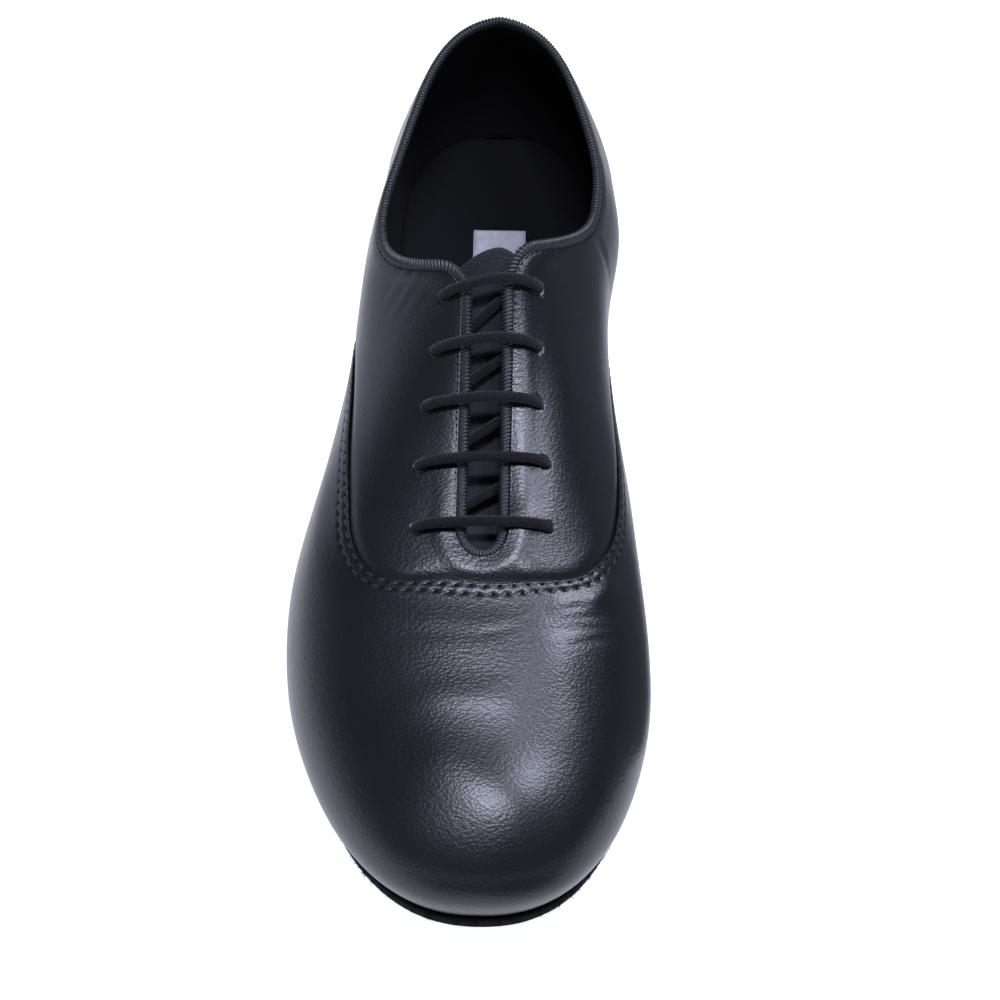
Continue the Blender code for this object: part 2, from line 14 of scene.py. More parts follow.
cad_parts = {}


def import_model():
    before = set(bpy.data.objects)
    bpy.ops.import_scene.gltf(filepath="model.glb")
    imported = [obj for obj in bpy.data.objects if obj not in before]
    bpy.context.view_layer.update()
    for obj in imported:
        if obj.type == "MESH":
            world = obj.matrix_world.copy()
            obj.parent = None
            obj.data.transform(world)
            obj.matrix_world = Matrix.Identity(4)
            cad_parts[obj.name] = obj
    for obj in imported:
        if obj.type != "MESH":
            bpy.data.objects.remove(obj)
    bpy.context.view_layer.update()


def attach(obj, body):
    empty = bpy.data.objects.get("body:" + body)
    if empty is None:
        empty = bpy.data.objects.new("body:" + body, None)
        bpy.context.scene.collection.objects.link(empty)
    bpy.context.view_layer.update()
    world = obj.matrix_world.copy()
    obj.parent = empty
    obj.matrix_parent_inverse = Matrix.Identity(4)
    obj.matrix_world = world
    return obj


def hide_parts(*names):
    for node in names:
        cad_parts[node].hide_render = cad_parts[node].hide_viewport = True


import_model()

MM = 0.001
TINY = 1e-12
UPRIGHT = 0.9
NOISE_SPAN = (0.3, 0.7)
LATERAL, MEDIAL = -1.0, 1.0

# Sizes of the part
LENGTH = 0.282
BALL_WIDTH = 0.104
INSTEP_HEIGHT = 0.092
HEEL_HEIGHT = 0.0205
WALL = 0.0020
GAP = 0.0003
SOLE_THICKNESS = 0.0040
SOLE_EDGE = 0.0010
INSOLE_THICKNESS = 0.0028
TONGUE_THICKNESS = 0.0016

# Sections of the last: station as a share of LENGTH; lateral and medial half width of BALL_WIDTH; crown of
# INSTEP_HEIGHT; ridge of BALL_WIDTH; bulge of INSTEP_HEIGHT; roundness; feather half widths of BALL_WIDTH
SECTIONS = (
    (0.000, 0.312, 0.316, 0.700, 0.000, 0.217, 1.45, 0.277, 0.272),
    (0.053, 0.313, 0.320, 0.745, 0.000, 0.217, 1.25, 0.282, 0.275),
    (0.106, 0.316, 0.327, 0.815, 0.000, 0.217, 1.25, 0.284, 0.277),
    (0.163, 0.331, 0.345, 0.865, 0.000, 0.217, 1.40, 0.285, 0.277),
    (0.213, 0.350, 0.355, 0.840, 0.005, 0.217, 1.60, 0.283, 0.274),
    (0.291, 0.376, 0.330, 0.785, 0.012, 0.212, 1.95, 0.291, 0.262),
    (0.376, 0.403, 0.336, 0.668, 0.023, 0.196, 1.75, 0.312, 0.250),
    (0.489, 0.463, 0.384, 0.543, 0.028, 0.177, 1.85, 0.370, 0.279),
    (0.610, 0.535, 0.428, 0.448, 0.028, 0.140, 2.20, 0.472, 0.366),
    (0.716, 0.541, 0.456, 0.370, 0.018, 0.125, 2.25, 0.487, 0.413),
    (0.837, 0.490, 0.443, 0.312, 0.010, 0.114, 2.10, 0.442, 0.400),
    (1.000, 0.430, 0.429, 0.272, 0.000, 0.104, 2.00, 0.385, 0.385),
)
# Collar: station, lateral and medial height as shares of INSTEP_HEIGHT
COLLAR = ((0.000, 0.924, 0.924), (0.106, 0.902, 0.908), (0.195, 0.878, 0.886), (0.325, 0.846, 0.864))
# Eyelets: station, how far the lateral one sits in front of it, lateral and medial distance from the middle
EYELETS = (
    (0.401, 0.0018, 0.0137, 0.0129),
    (0.453, 0.0006, 0.0157, 0.0129),
    (0.506, 0.0002, 0.0178, 0.0135),
    (0.562, 0.0006, 0.0190, 0.0159),
    (0.628, 0.0004, 0.0196, 0.0171),
)
# Tongue: station, half width, depth under the form
TONGUE = (
    (0.370, 0.0190, 0.0058),
    (0.382, 0.0235, 0.0060),
    (0.450, 0.0250, 0.0063),
    (0.632, 0.0245, 0.0063),
    (0.652, 0.0238, 0.0042),
    (0.675, 0.0225, 0.0034),
    (0.740, 0.0190, 0.0024),
)
HEEL_NOSE, HEEL_POWER = 0.133 * LENGTH, 2.2
TOE_NOSE, TOE_POWER = 0.268 * LENGTH, 2.35
CROWN_NOSE, CROWN_POWER = 0.103 * LENGTH, 2.0
FEATHER_BACK = 0.014 * LENGTH
FEATHER_TIP = 0.988 * LENGTH
TOE_SPRING = 0.007
SEAT_RISE = 0.0040
BREAST = 0.216 * LENGTH
FLAT_BACK = 0.585 * LENGTH
FLAT_FRONT = 0.777 * LENGTH
CORNER_LATERAL = 0.356 * LENGTH
CORNER_MEDIAL = 0.340 * LENGTH
THROAT_TOP_LATERAL = 0.392 * LENGTH
THROAT_TOP_MEDIAL = 0.384 * LENGTH
THROAT_BOTTOM = 0.662 * LENGTH
THROAT_MIDDLE = -0.0012
THROAT_HALF = 0.0074
THROAT_ROUND = 0.0085
CORNER_ROUND = 0.0200
TOP_ROUND = 0.0080
RAY_HEEL = 0.106 * LENGTH
RAYS = (RAY_HEEL, 0.262 * LENGTH, 0.420 * LENGTH, 0.690 * LENGTH)

# Heel block: how far its sides draw in, its breast, and rings from the seat down (share, extra drawing in)
HEEL_TAPER = 0.0015
BREAST_HOLLOW = 0.0025
TOP_PIECE = 0.815
HEEL_RINGS = ((0.0, 0.0), (0.03, 0.0), (0.25, 0.0), (0.5, 0.0), (0.75, 0.0), (0.79, 0.0), (0.80, 0.0003),
              (TOP_PIECE, 0.0003), (0.825, 0.0), (0.95, 0.0), (0.985, 0.00015), (1.0, 0.0006))

# Vamp seam: how far up each column of the upper the vamp's top edge lies, by the column's station (mm)
SEAM_LATERAL = ((72, 0.0), (80, 9.5), (90, 20.0), (100, 28.0), (111, 33.6), (131.5, 42.0), (150, 47.8),
                (166, 50.6), (178, 51.6), (186, 53.0), (194, 55.6), (203, 59.8), (212, 64.8), (224, 72.8),
                (260, 94.7), (282, 108.4))
SEAM_MEDIAL = ((74, 0.0), (84, 10.5), (98, 21.2), (112, 28.4), (130, 34.2), (147, 38.2), (164, 41.2),
               (175, 43.6), (187, 48.4), (203, 57.4), (221, 69.6), (251, 88.9), (282, 108.4))
SEAM_UNDERLAP = 5.0 * MM
VAMP_FROM = 1.2 * MM
SHORT_VAMP = 12 * MM
SHORT_TUCK = 6 * MM

# Vamp over the form: lap at its edge, swell behind it, round edge, stitch grooves; skived under the edge
LAP, SWELL = 0.12 * MM, 0.36 * MM
SWELL_RUN = (4.5 * MM, 14 * MM)
LAP_RUN = (14 * MM, 42 * MM)
EDGE_ROUND = 0.5 * MM
GROOVE, GROOVE_BEAT, GROOVE_WIDTH = 0.18 * MM, 0.13 * MM, 0.72 * MM
SKIVED, SKIVE = 0.65 * MM, 1.4 * MM
SKIVED_LEAST = 0.1 * MM
SKIVE_RUN = (4.5 * MM, 9 * MM)

# Quarters' face: tuck under the vamp, dip at the front, puff and groove along the opening's edge, back seam.
# The rises say where an effect grows along the shoe, as shares of LENGTH on the lateral and medial side.
TUCK, TUCK_WIDTH, TUCK_UNDER, TUCK_STEP = 0.85 * MM, 2.4 * MM, 0.3 * MM, 1.0 * MM
DIP, DIP_WIDTH = 0.55 * MM, 5.5 * MM
NOWHERE = (2.0, 3.0)
DIP_RISE = (0.72, 0.82), (0.80, 0.90)
FACING_RISE = (0.60, 0.72), (0.44, 0.50)
RING_RISE = (0.64, 0.72), (0.64, 0.72)
QUIET_RISE = (0.36, 0.46), NOWHERE
PUFF, PUFF_QUIET, PUFF_FACING, PUFF_BOTH = 0.18 * MM, -0.12 * MM, 0.27 * MM, 0.09 * MM
PUFF_RING = 0.33
PUFF_AT, PUFF_AT_RING = 4.3 * MM, 0.4 * MM
PUFF_WIDTH, PUFF_WIDTH_RING = 3.0 * MM, -0.5 * MM
EDGE_GROOVE, EDGE_GROOVE_LESS = 0.25 * MM, 0.18 * MM
EDGE_GROOVE_AT, EDGE_GROOVE_WIDTH = 0.4 * MM, 0.8 * MM
BACK_SEAM, BACK_SEAM_COLUMNS = 0.35 * MM, 1.3
LINING_GAP = 0.05 * MM

# Stitches: pitch, (length, width, height), lift off their bed, turn from the row (degrees)
STITCH_ROWS = (0.9 * MM, 3.4 * MM)
STITCH_SHIFTS = (0.0, 0.4)
STITCH_PITCH = 4.05 * MM
STITCH_PHASE = 0.25
STITCH_REACH = 0.5 * MM
SEWN_FROM = 6.0 * MM
STITCH_SIZE = (2.2 * MM, 0.62 * MM, 0.50 * MM)
STITCH_LIFT = -0.05 * MM
STITCH_TURN = 9.0
# Needle holes are near-black capsules that paint their shade: (length, width, height), lift off their bed,
# turn from the row
HOLE_SHADE_SIZE = (1.60 * MM, 0.85 * MM, 0.24 * MM)
HOLE_SHADE_LIFT = 0.02 * MM
HOLE_SHADE_TURN = 24.0
TAPE_STITCH_PITCH = 2.0 * MM
TAPE_STITCH_SIZE = (0.95 * MM, 0.42 * MM, 0.36 * MM)
TAPE_STITCH_LIFT = -0.10 * MM
TONGUE_STITCH_PITCH = 2.2 * MM
TONGUE_STITCH_SIZE = (1.5 * MM, 0.50 * MM, 0.35 * MM)
TONGUE_STITCH_LIFT = 0.05 * MM
CAPSULE_ALONG, CAPSULE_AROUND = 7, 8
CAPSULE_POWER, CAPSULE_TIP = 2.6, 0.06

# Tongue's top edge: station, how much it falls away to the sides, its highest place, border to the stitches
TONGUE_TOP = 0.3775
TONGUE_TOP_ROUND, TONGUE_TOP_POWER = 0.022, 2.2
TONGUE_TOP_SHIFT = 0.15
TONGUE_BORDER = 2.0 * MM
TONGUE_SEWN = 0.85
TONGUE_SEAM_STEPS = 60

# Lace: route, woven strands and fuzz
LACE_DIAMETER = 0.0029
LACE_OVER, LACE_UNDER = 0.0026, 0.0044
LACE_TURN, LACE_RISE, LACE_DROP = 0.0036, 0.0010, 0.0031
HIDDEN_RUN_OFFSET = 0.0050
LACE_RUN_POINTS = 5
LACE_STEP = 0.22 * MM
LACE_SIDES = 24
WEAVE_STRANDS = 4
WEAVE_LENGTH = 2.4 * MM
WEAVE_DEPTH = 0.10
FUZZ_COUNT, FUZZ_SEED = 14000, 7
FUZZ_ROOT, FUZZ_LEAN = 0.93, 1.2
FUZZ_LENGTHS, FUZZ_THICKNESS = (0.25, 0.7), 0.06 * MM

# Binding tape: section, ribs and border
BINDING_WIDTH = 0.0034
BINDING_THICKNESS = 0.0026
BINDING_POWER = 3.0
RIB_STEP = 0.15 * MM
RIB_PITCH = 1.1 * MM
RIB_SLANT = 0.5
RIB_DEPTH, RIB_POWER = 0.42, 0.7
TAPE_SIDES = 16
TAPE_LAP = 0.5 * MM
TAPE_BORDER = 0.62 * MM
LOOP_SMOOTHING = 6

# Patch on the insole: back and front stations, left and right places, heights of its faces over the insole
PATCH = (0.0404, 0.0640, -0.0070, 0.0088)
PATCH_TOP, PATCH_UNDER = 0.25 * MM, 0.1 * MM
INSOLE_CUP, INSOLE_CUP_POWER = 1.2 * MM, 6
INSOLE_THINNER = 0.4 * MM
SOLE_ROUND = 0.8 * MM
EYELET_RADIUS = 1.75 * MM
EYELET_RIM, EYELET_RIM_SINK = 0.32 * MM, 0.05 * MM

# Nap of the outsole's cut edge; every third fibre stands in a clump of longer ones
NAP_COUNT, NAP_SEED = 16000, 11
NAP_CLUMPS, NAP_CLUMP_WIDTH, NAP_CLUMP_LENGTH = 260, 0.5 * MM, 1.9
NAP_HEIGHTS, NAP_ROOT, NAP_LEAN = (0.05, 0.95), 0.15 * MM, 0.55
NAP_LENGTHS, NAP_THICKNESS = (0.3, 0.8), 0.10 * MM

# Soft folds of the leather: x, station, turn from straight across (degrees), half length, half width, height,
# in millimetres; they fade out over a height above the widest line
FOLDS = (
    (-1.0, 253.5, 26, 20, 10.5, 1.25),
    (5.0, 281.0, 4, 26, 12.0, -1.90),
    (-4.0, 226.0, 0, 20, 11.0, 0.72),
    (-7.0, 229.0, 3, 14, 3.0, 0.12),
    (-6.0, 221.5, 0, 15, 4.0, -0.16),
    (-9.0, 212.6, 0, 13, 2.8, 0.10),
    (4.2, 208.6, -16, 6.0, 0.9, -0.14),
    (-8.0, 206.2, 3, 15, 2.6, 0.07),
    (25.4, 202.2, -23, 8.5, 0.9, -0.11),
    (21.8, 205.8, -20, 8.0, 0.9, -0.11),
    (27.6, 204.9, -22, 8.0, 0.8, -0.10),
    (30.5, 207.6, -24, 7.0, 0.8, -0.09),
    (24.0, 199.2, -24, 9.0, 0.9, -0.08),
    (16.0, 204.0, -18, 6.0, 0.9, -0.09),
    (34.5, 204.6, -28, 6.0, 0.8, -0.11),
    (23.0, 197.6, -24, 6.0, 2.4, 0.22),
    (32.6, 191.6, -56, 7.0, 2.6, 0.75),
    (22.5, 225.5, 80, 16, 7.5, 0.45),
    (9.5, 183.0, 84, 11, 9.0, 0.85),
    (18.0, 154.0, -79, 27, 9.0, 0.80),
    (-27.6, 102.8, -26, 4.5, 1.0, -0.22),
    (-25.0, 106.4, -36, 5.0, 1.0, -0.24),
    (-22.3, 110.0, -36, 5.5, 1.0, -0.22),
    (-18.6, 113.4, -33, 4.5, 1.0, -0.18),
    (-26.2, 104.7, -31, 4.5, 1.1, 0.14),
    (-23.6, 108.2, -36, 5.5, 1.1, 0.14),
    (31.3, 83.9, -48, 3.4, 0.8, -0.32),
    (32.0, 81.7, -51, 2.8, 0.7, -0.26),
)
FOLD_FADE = 8.0 * MM

# Camera fitted to the photograph; angles in degrees
CAMERA_AZIMUTH, CAMERA_ELEVATION, CAMERA_ROLL = 0.94, 51.36, 0.37
CAMERA_DISTANCE = 1.3524
CAMERA_TARGET = (0.00343, -0.01694, 0.04347)
CAMERA_LENS, SENSOR_WIDTH = 170.04, 36.0

# Studio: lamps (watts, size, place) and cards that only reflections see (left, right, front and back edges,
# height, glow, whether the card stops light)
STUDIO_TINT = (0.86, 0.90, 1.12)
FLOOR_HALF, FLOOR_TINT, FLOOR_GLOW = 4.0, (0.97, 0.985, 1.10), 0.99
LAMP_TARGET = (0.0, -0.03, 0.04)
LAMPS = (
    ("overhead", 18.0, (0.50, 0.16), (0.03, -0.16, 1.54)),
    ("side", 6.5, (0.30, 0.32), (0.68, -0.16, 1.37)),
    ("back", 14.5, (0.38, 0.50), (0.75, 0.54, 1.24)),
)
FLAGS = (
    ("floor_flag", (0.063, 1.6, -0.075, 1.6), 0.0005, 0.20, False),
    ("left_flag", (-1.6, -0.075, 0.03, 1.6), 0.0005, 0.70, False),
    ("toe_flag", (0.075, 0.40, -0.45, -0.050), 0.25, 0.16, True),
)
# World: glow at the horizon and elsewhere; ranges of direction (low, high) with the factors at their ends
HORIZON = (0.0, 0.50, 1.0, 0.0)
HORIZON_POWER, HORIZON_GLOW, STUDIO_GLOW = 1.6, 0.92, 0.15
LEFT_TO_RIGHT = (-0.4, 0.8, 1.0, 0.25)
FRONT_TO_BACK = (-0.7, 0.6, 1.5, 0.6)

# Mesh divisions, and distances of the upper's rows from the ends of its columns
NORMAL_STEP = 0.4 * MM
BODY_MIDDLE_HEIGHT = 0.030
ROUND_STEPS = 12
COLLAR_STEPS = 60
FINE_STEPS = 600
STATIONS_PER_SIDE = 420
LINE_STEPS = 260
WRAP_STEPS = 20
QUARTER_ROWS = 40
VAMP_ROWS = 78
INNER_THINNING = 3
ROW_ROOM = 1.25
TONGUE_ROWS, TONGUE_ACROSS = 90, 40
SOLE_SECTIONS, SOLE_ACROSS, SOLE_ROUND_STEPS = 240, 15, 5
HEEL_STEPS, BREAST_STEPS = 40, 16
INSOLE_ROWS = range(2, STATIONS_PER_SIDE - 1)
INSOLE_ACROSS, PATCH_ACROSS = 33, 9
RIM_DIVISIONS = (28, 10)
NEAR_FEATHER = MM * np.array((0, 0.5, 1.0, 1.7, 2.5))
NEAR_SEAM = MM * np.array((0, 0.08, 0.2, 0.36, 0.55, 0.75, 0.95, 1.15, 1.4, 1.7, 2.0, 2.3, 2.6, 2.85, 3.1,
                           3.35, 3.6, 3.85, 4.1, 4.4, 4.8, 5.3, 5.9, 6.6))
NEAR_UNDERLAP = MM * np.array((0, 2.5, 4.0, 4.5, 4.8, 5.0, 5.2, 5.5, 5.9, 6.4, 7.0, 7.8, 8.7, 9.8, 11.0))
NEAR_EDGE = MM * np.array((0, 0.4, 0.8, 1.2, 1.7, 2.3, 3.0, 3.8))


def spline(xs, ys):
    """Natural cubic spline through the given values, as a function."""
    xs, ys = np.asarray(xs, float), np.asarray(ys, float)
    count, step = len(xs), np.diff(xs)
    matrix, right = np.eye(count), np.zeros(count)
    for i in range(1, count - 1):
        matrix[i, i - 1:i + 2] = step[i - 1], 2 * (step[i - 1] + step[i]), step[i]
        right[i] = 6 * ((ys[i + 1] - ys[i]) / step[i] - (ys[i] - ys[i - 1]) / step[i - 1])
    bend = np.linalg.solve(matrix, right)

    def value(x):
        x = np.clip(np.asarray(x, float), xs[0], xs[-1])
        i = np.clip(np.searchsorted(xs, x) - 1, 0, count - 2)
        q = (x - xs[i]) / step[i]
        p = 1 - q
        curve = (p ** 3 - p) * bend[i] + (q ** 3 - q) * bend[i + 1]
        return p * ys[i] + q * ys[i + 1] + curve * step[i] ** 2 / 6

    return value


def table_curves(rows, **sizes):
    """One spline over the station for each column after the first, scaled by its driving size."""
    data = np.array(rows)
    return {name: spline(data[:, 0] * LENGTH, data[:, i] * size)
            for i, (name, size) in enumerate(sizes.items(), 1)}


SECTION = table_curves(SECTIONS, lateral=BALL_WIDTH, medial=BALL_WIDTH, crown=INSTEP_HEIGHT, ridge=BALL_WIDTH,
                       bulge=INSTEP_HEIGHT, power=1.0, feather_lateral=BALL_WIDTH, feather_medial=BALL_WIDTH)
COLLAR_TOP = table_curves(COLLAR, lateral=INSTEP_HEIGHT, medial=INSTEP_HEIGHT)
TONGUE_FORM = table_curves(TONGUE, half_width=1.0, depth=1.0)


def unit(vectors):
    return vectors / np.maximum(np.linalg.norm(vectors, axis=-1, keepdims=True), TINY)


def run_lengths(points):
    return np.concatenate([[0.0], np.cumsum(np.linalg.norm(np.diff(points, axis=0), axis=1))])


def read_at(places, lengths, values):
    """Rows of values read at places along a run of lengths."""
    return np.stack([np.interp(places, lengths, column) for column in values.T], -1)


def resample(points, places):
    """Points of a polyline at given distances along it."""
    return read_at(places, run_lengths(points), points)


def cosine_steps(count):
    return (1 - np.cos(np.linspace(0, math.pi, count))) / 2


def circle(count):
    return np.arange(count) * 2 * math.pi / count


def smoothstep(low, high, value):
    t = np.clip((value - low) / (high - low), 0, 1)
    return t * t * (3 - 2 * t)


def bell(value, middle, width):
    return np.exp(-((value - middle) / width) ** 2)


def superellipse(share, power):
    """Height of a unit superellipse at a share of its half width."""
    return (1 - np.clip(share, 0, 1) ** power) ** (1 / power)


# Form of the last

def nose(station, back=0.0, tip=LENGTH, heel_run=HEEL_NOSE, heel_power=HEEL_POWER):
    """Share of the full size left at a station, falling to nothing at the heel back and the toe tip."""
    heel = superellipse((back + heel_run - station) / heel_run, heel_power)
    return heel * superellipse((station - tip + TOE_NOSE) / TOE_NOSE, TOE_POWER)


def sole_bottom(station):
    """Height of the outsole's underside: toe spring, flat forefoot, arch and sloping heel seat."""
    station = np.asarray(station, float)
    spring = TOE_SPRING * np.clip((station - FLAT_FRONT) / (LENGTH - FLAT_FRONT), 0, 1) ** 2
    slope = SEAT_RISE / BREAST
    run = FLAT_BACK - BREAST
    t = np.clip((FLAT_BACK - station) / run, 0, 1)
    arch = HEEL_HEIGHT * (3 * t ** 2 - 2 * t ** 3) + slope * run * (t ** 3 - t ** 2)
    return spring + arch + slope * np.clip(BREAST - station, 0, None)


def feather_height(station):
    return sole_bottom(station) + SOLE_THICKNESS + GAP


def bulge_height(station):
    return feather_height(station) + SECTION["bulge"](station)


def crown_rise(station):
    return SECTION["crown"](station) * nose(station, heel_run=CROWN_NOSE, heel_power=CROWN_POWER)


def by_side(curves, name, station, side):
    """A lateral or medial column of a table, by side."""
    lateral, medial = (curves[name + ending](station) for ending in ("lateral", "medial"))
    return np.where(np.asarray(side) < 0, lateral, medial)


def wall_x(station, side):
    """The last's widest line in plan."""
    return side * by_side(SECTION, "", station, side) * nose(station)


def feather_x(station, side, edge=0.0):
    """The line where the upper meets the sole in plan, moved out (or in) by an edge width."""
    half = by_side(SECTION, "feather_", station, side) + edge
    return side * half * nose(station, FEATHER_BACK - edge, FEATHER_TIP + edge)


def ridge_x(station):
    return SECTION["ridge"](station) * nose(station)


def form_height(x, station):
    """Height of the last's outer form over a point in plan."""
    middle = ridge_x(station)
    side = np.where(x < middle, LATERAL, MEDIAL)
    share = np.abs(x - middle) / np.maximum(np.abs(wall_x(station, side) - middle), TINY)
    return bulge_height(station) + crown_rise(station) * superellipse(share, SECTION["power"](station))


def form_x(station, height, side):
    """Where the last's section at a station has a given height, on one side."""
    share = (height - bulge_height(station)) / np.maximum(crown_rise(station), TINY)
    share = superellipse(share, SECTION["power"](station))
    return ridge_x(station) + share * (wall_x(station, side) - ridge_x(station))


MIDDLE_PLANE_X = sum(-side * np.max(np.abs(wall_x(np.linspace(0, LENGTH, FINE_STEPS), side)))
                     for side in (LATERAL, MEDIAL)) / 2


def world(x, station, height):
    """Place in plan, from the last's middle plane, and height as points in the part's frame."""
    x, station, height = (np.asarray(value, float) for value in (x, station, height))
    return np.stack(np.broadcast_arrays(x + MIDDLE_PLANE_X, LENGTH / 2 - station, height), -1)


def on_form(x, station):
    return world(x, station, form_height(np.asarray(x, float), np.asarray(station, float)))


def form_normal(x, station):
    """Outward normal of the last's form at a point in plan."""
    across = on_form(x + NORMAL_STEP, station) - on_form(x - NORMAL_STEP, station)
    return unit(np.cross(across, on_form(x, station - NORMAL_STEP) - on_form(x, station + NORMAL_STEP)))


def off_form(x, station, lift):
    """A point above (or, with a negative lift, under) the last's form."""
    x, station = np.asarray(x, float), np.asarray(station, float)
    return on_form(x, station) + np.asarray(lift, float)[..., None] * form_normal(x, station)


# Columns of the upper

def rim_height(station, side):
    """Height of the upper's cut edge at the collar, under the binding."""
    return by_side(COLLAR_TOP, "", station, side) - BINDING_WIDTH


def corner_curve(start, corner, end):
    """Quadratic curve that rounds a corner."""
    t = np.linspace(0, 1, ROUND_STEPS)[:, None]
    return (1 - t) ** 2 * start + 2 * t * (1 - t) * corner + t ** 2 * end


def opening_side(side):
    """One side of the opening's edge in plan, heel back to throat end, and how far along it the rays end."""
    corner_station, top_station = ((CORNER_LATERAL, THROAT_TOP_LATERAL) if side < 0
                                   else (CORNER_MEDIAL, THROAT_TOP_MEDIAL))
    rising = CROWN_NOSE * np.linspace(0, 1, FINE_STEPS) ** 2
    over_rim = bulge_height(rising) + crown_rise(rising) - rim_height(rising, LATERAL)
    back = np.interp(0.0, over_rim, rising)
    stations = back + (corner_station - CORNER_ROUND - back) * np.linspace(0, 1, COLLAR_STEPS) ** 2
    collar = np.stack([form_x(stations, rim_height(stations, side), side), stations], -1)
    collar[0, 0] = 0.0
    corner = collar[-1] + unit(collar[-1] - collar[-2]) * CORNER_ROUND
    top = np.array([THROAT_MIDDLE + side * THROAT_HALF, top_station])
    top_start = top - unit(top - corner) * TOP_ROUND
    round_start = np.array([top[0], THROAT_BOTTOM - THROAT_ROUND])
    turn = np.linspace(0, math.pi / 2, ROUND_STEPS)
    end = np.stack([THROAT_MIDDLE + side * THROAT_HALF * np.cos(turn),
                    round_start[1] + THROAT_ROUND * np.sin(turn)], -1)
    points = np.concatenate([collar, corner_curve(collar[-1], corner, top_start)[1:],
                             corner_curve(top_start, top, top + np.array([0.0, TOP_ROUND]))[1:], end])
    heel = form_x(RAY_HEEL, rim_height(RAY_HEEL, side), side), RAY_HEEL
    lengths = run_lengths(points)
    return points, [lengths[np.argmin(np.linalg.norm(points - spot, axis=1))]
                    for spot in (heel, collar[-1], top, round_start)]


def wall_run(side):
    """Fine stations along the widest line, and how far along it they lie."""
    fine = LENGTH * cosine_steps(FINE_STEPS)
    return fine, run_lengths(np.stack([wall_x(fine, side), fine], -1))


def opening_points(side, stations):
    """The opening's edge in plan, one point for each station on the widest line."""
    points, ends = opening_side(side)
    fine, lengths = wall_run(side)
    at = np.interp(np.interp(stations, fine, lengths), [0.0, *np.interp(RAYS, fine, lengths), lengths[-1]],
                   [0.0, *ends, run_lengths(points)[-1]])
    return resample(points, at)


def column_line(station, side, edge):
    """Line up the upper's outer form, from the feather line over the widest line to the opening's edge."""
    low = FEATHER_BACK + (FEATHER_TIP - FEATHER_BACK) * station / LENGTH
    wall = wall_x(station, side)
    bulge = world(wall, station, bulge_height(station))
    feather = world(feather_x(low, side), low, feather_height(low))
    share = np.arange(WRAP_STEPS)[:, None] / WRAP_STEPS
    wrap = np.concatenate([feather[:2] + (bulge - feather)[:2] * (2 * share - share ** 2),
                           feather[2:] + (bulge - feather)[2:] * share], 1)
    share = np.linspace(0, 1, LINE_STEPS) ** 2
    body = on_form(wall + (edge[0] - wall) * share, station + (edge[1] - station) * share)
    body[0, 2] = bulge_height(station)
    return np.concatenate([wrap, body])


class Columns:
    """The upper's columns: a closed loop from the heel back along the lateral side to the toe and back."""

    def __init__(self):
        fine, lengths = wall_run(LATERAL)
        stations = np.interp(np.linspace(0, lengths[-1], STATIONS_PER_SIDE + 1), lengths, fine)
        lateral, medial = ([(s, side, column_line(s, side, edge))
                            for s, edge in zip(stations, opening_points(side, stations))]
                           for side in (LATERAL, MEDIAL))
        rows = lateral + medial[-2:0:-1]
        self.station, self.side = (np.array([row[k] for row in rows]) for k in (0, 1))
        self.lines = [row[2] for row in rows]
        self.lengths = [run_lengths(line) for line in self.lines]
        self.total = np.array([lengths[-1] for lengths in self.lengths])
        self.count = len(rows)
        curves = [spline(*np.array(seam).T * MM)(self.station) for seam in (SEAM_LATERAL, SEAM_MEDIAL)]
        self.seam = np.clip(self.pick(*curves), 0, None)
        self.has_vamp = self.station > self.pick(SEAM_LATERAL[0][0] * MM, SEAM_MEDIAL[0][0] * MM)

    def pick(self, lateral, medial):
        return np.where(self.side < 0, lateral, medial)

    def rise(self, lateral, medial):
        """Growth from 0 to 1 between two shares of the length, for each column."""
        return self.pick(*(smoothstep(low * LENGTH, high * LENGTH, self.station)
                           for low, high in (lateral, medial)))[:, None]

    def points(self, places, which=None):
        """Points at the given distances up the columns: one row of distances for each column."""
        which = range(self.count) if which is None else which
        return np.array([read_at(row, self.lengths[k], self.lines[k]) for row, k in zip(places, which)])


def surface_normals(grid, closed):
    """Outward normals of a grid of points."""
    around = np.roll(grid, -1, 0) - np.roll(grid, 1, 0) if closed else np.gradient(grid, axis=0)
    normal = unit(np.cross(np.gradient(grid, axis=1), around))
    middle = np.array([MIDDLE_PLANE_X, 0.0, BODY_MIDDLE_HEIGHT])
    return normal if np.mean(normal * (grid - middle)) > 0 else -normal


def spread_rows(low, high, near_low, near_high, count):
    """Distances from low to high: fixed ones near both ends, even ones between, for each column."""
    low, high = np.asarray(low)[:, None], np.asarray(high)[:, None]
    room = np.minimum(1.0, (high - low) / (ROW_ROOM * (near_low[-1] + near_high[-1])))
    first = low + near_low[None] * room
    last = high - near_high[None, ::-1] * room
    share = np.linspace(0, 1, count + 2)[None, 1:-1]
    return np.concatenate([first, first[:, -1:] + (last[:, :1] - first[:, -1:]) * share, last], 1)


# Meshes

def mesh_object(name, vertices, faces, materials, face_slots=None, solid=True):
    """A named smooth mesh from arrays; a solid's faces are turned outwards."""
    mesh = bpy.data.meshes.new(name)
    mesh.from_pydata(np.asarray(vertices).tolist(), [], [list(map(int, f)) for f in faces])
    for material in materials:
        mesh.materials.append(material)
    if face_slots is not None:
        mesh.polygons.foreach_set("material_index", np.asarray(face_slots, dtype=np.int32))
    mesh.shade_smooth()
    mesh.update()
    if solid:
        bm = bmesh.new()
        bm.from_mesh(mesh)
        bmesh.ops.recalc_face_normals(bm, faces=bm.faces)
        bm.to_mesh(mesh)
        bm.free()
    shape = bpy.data.objects.new(name, mesh)
    bpy.context.scene.collection.objects.link(shape)
    return shape


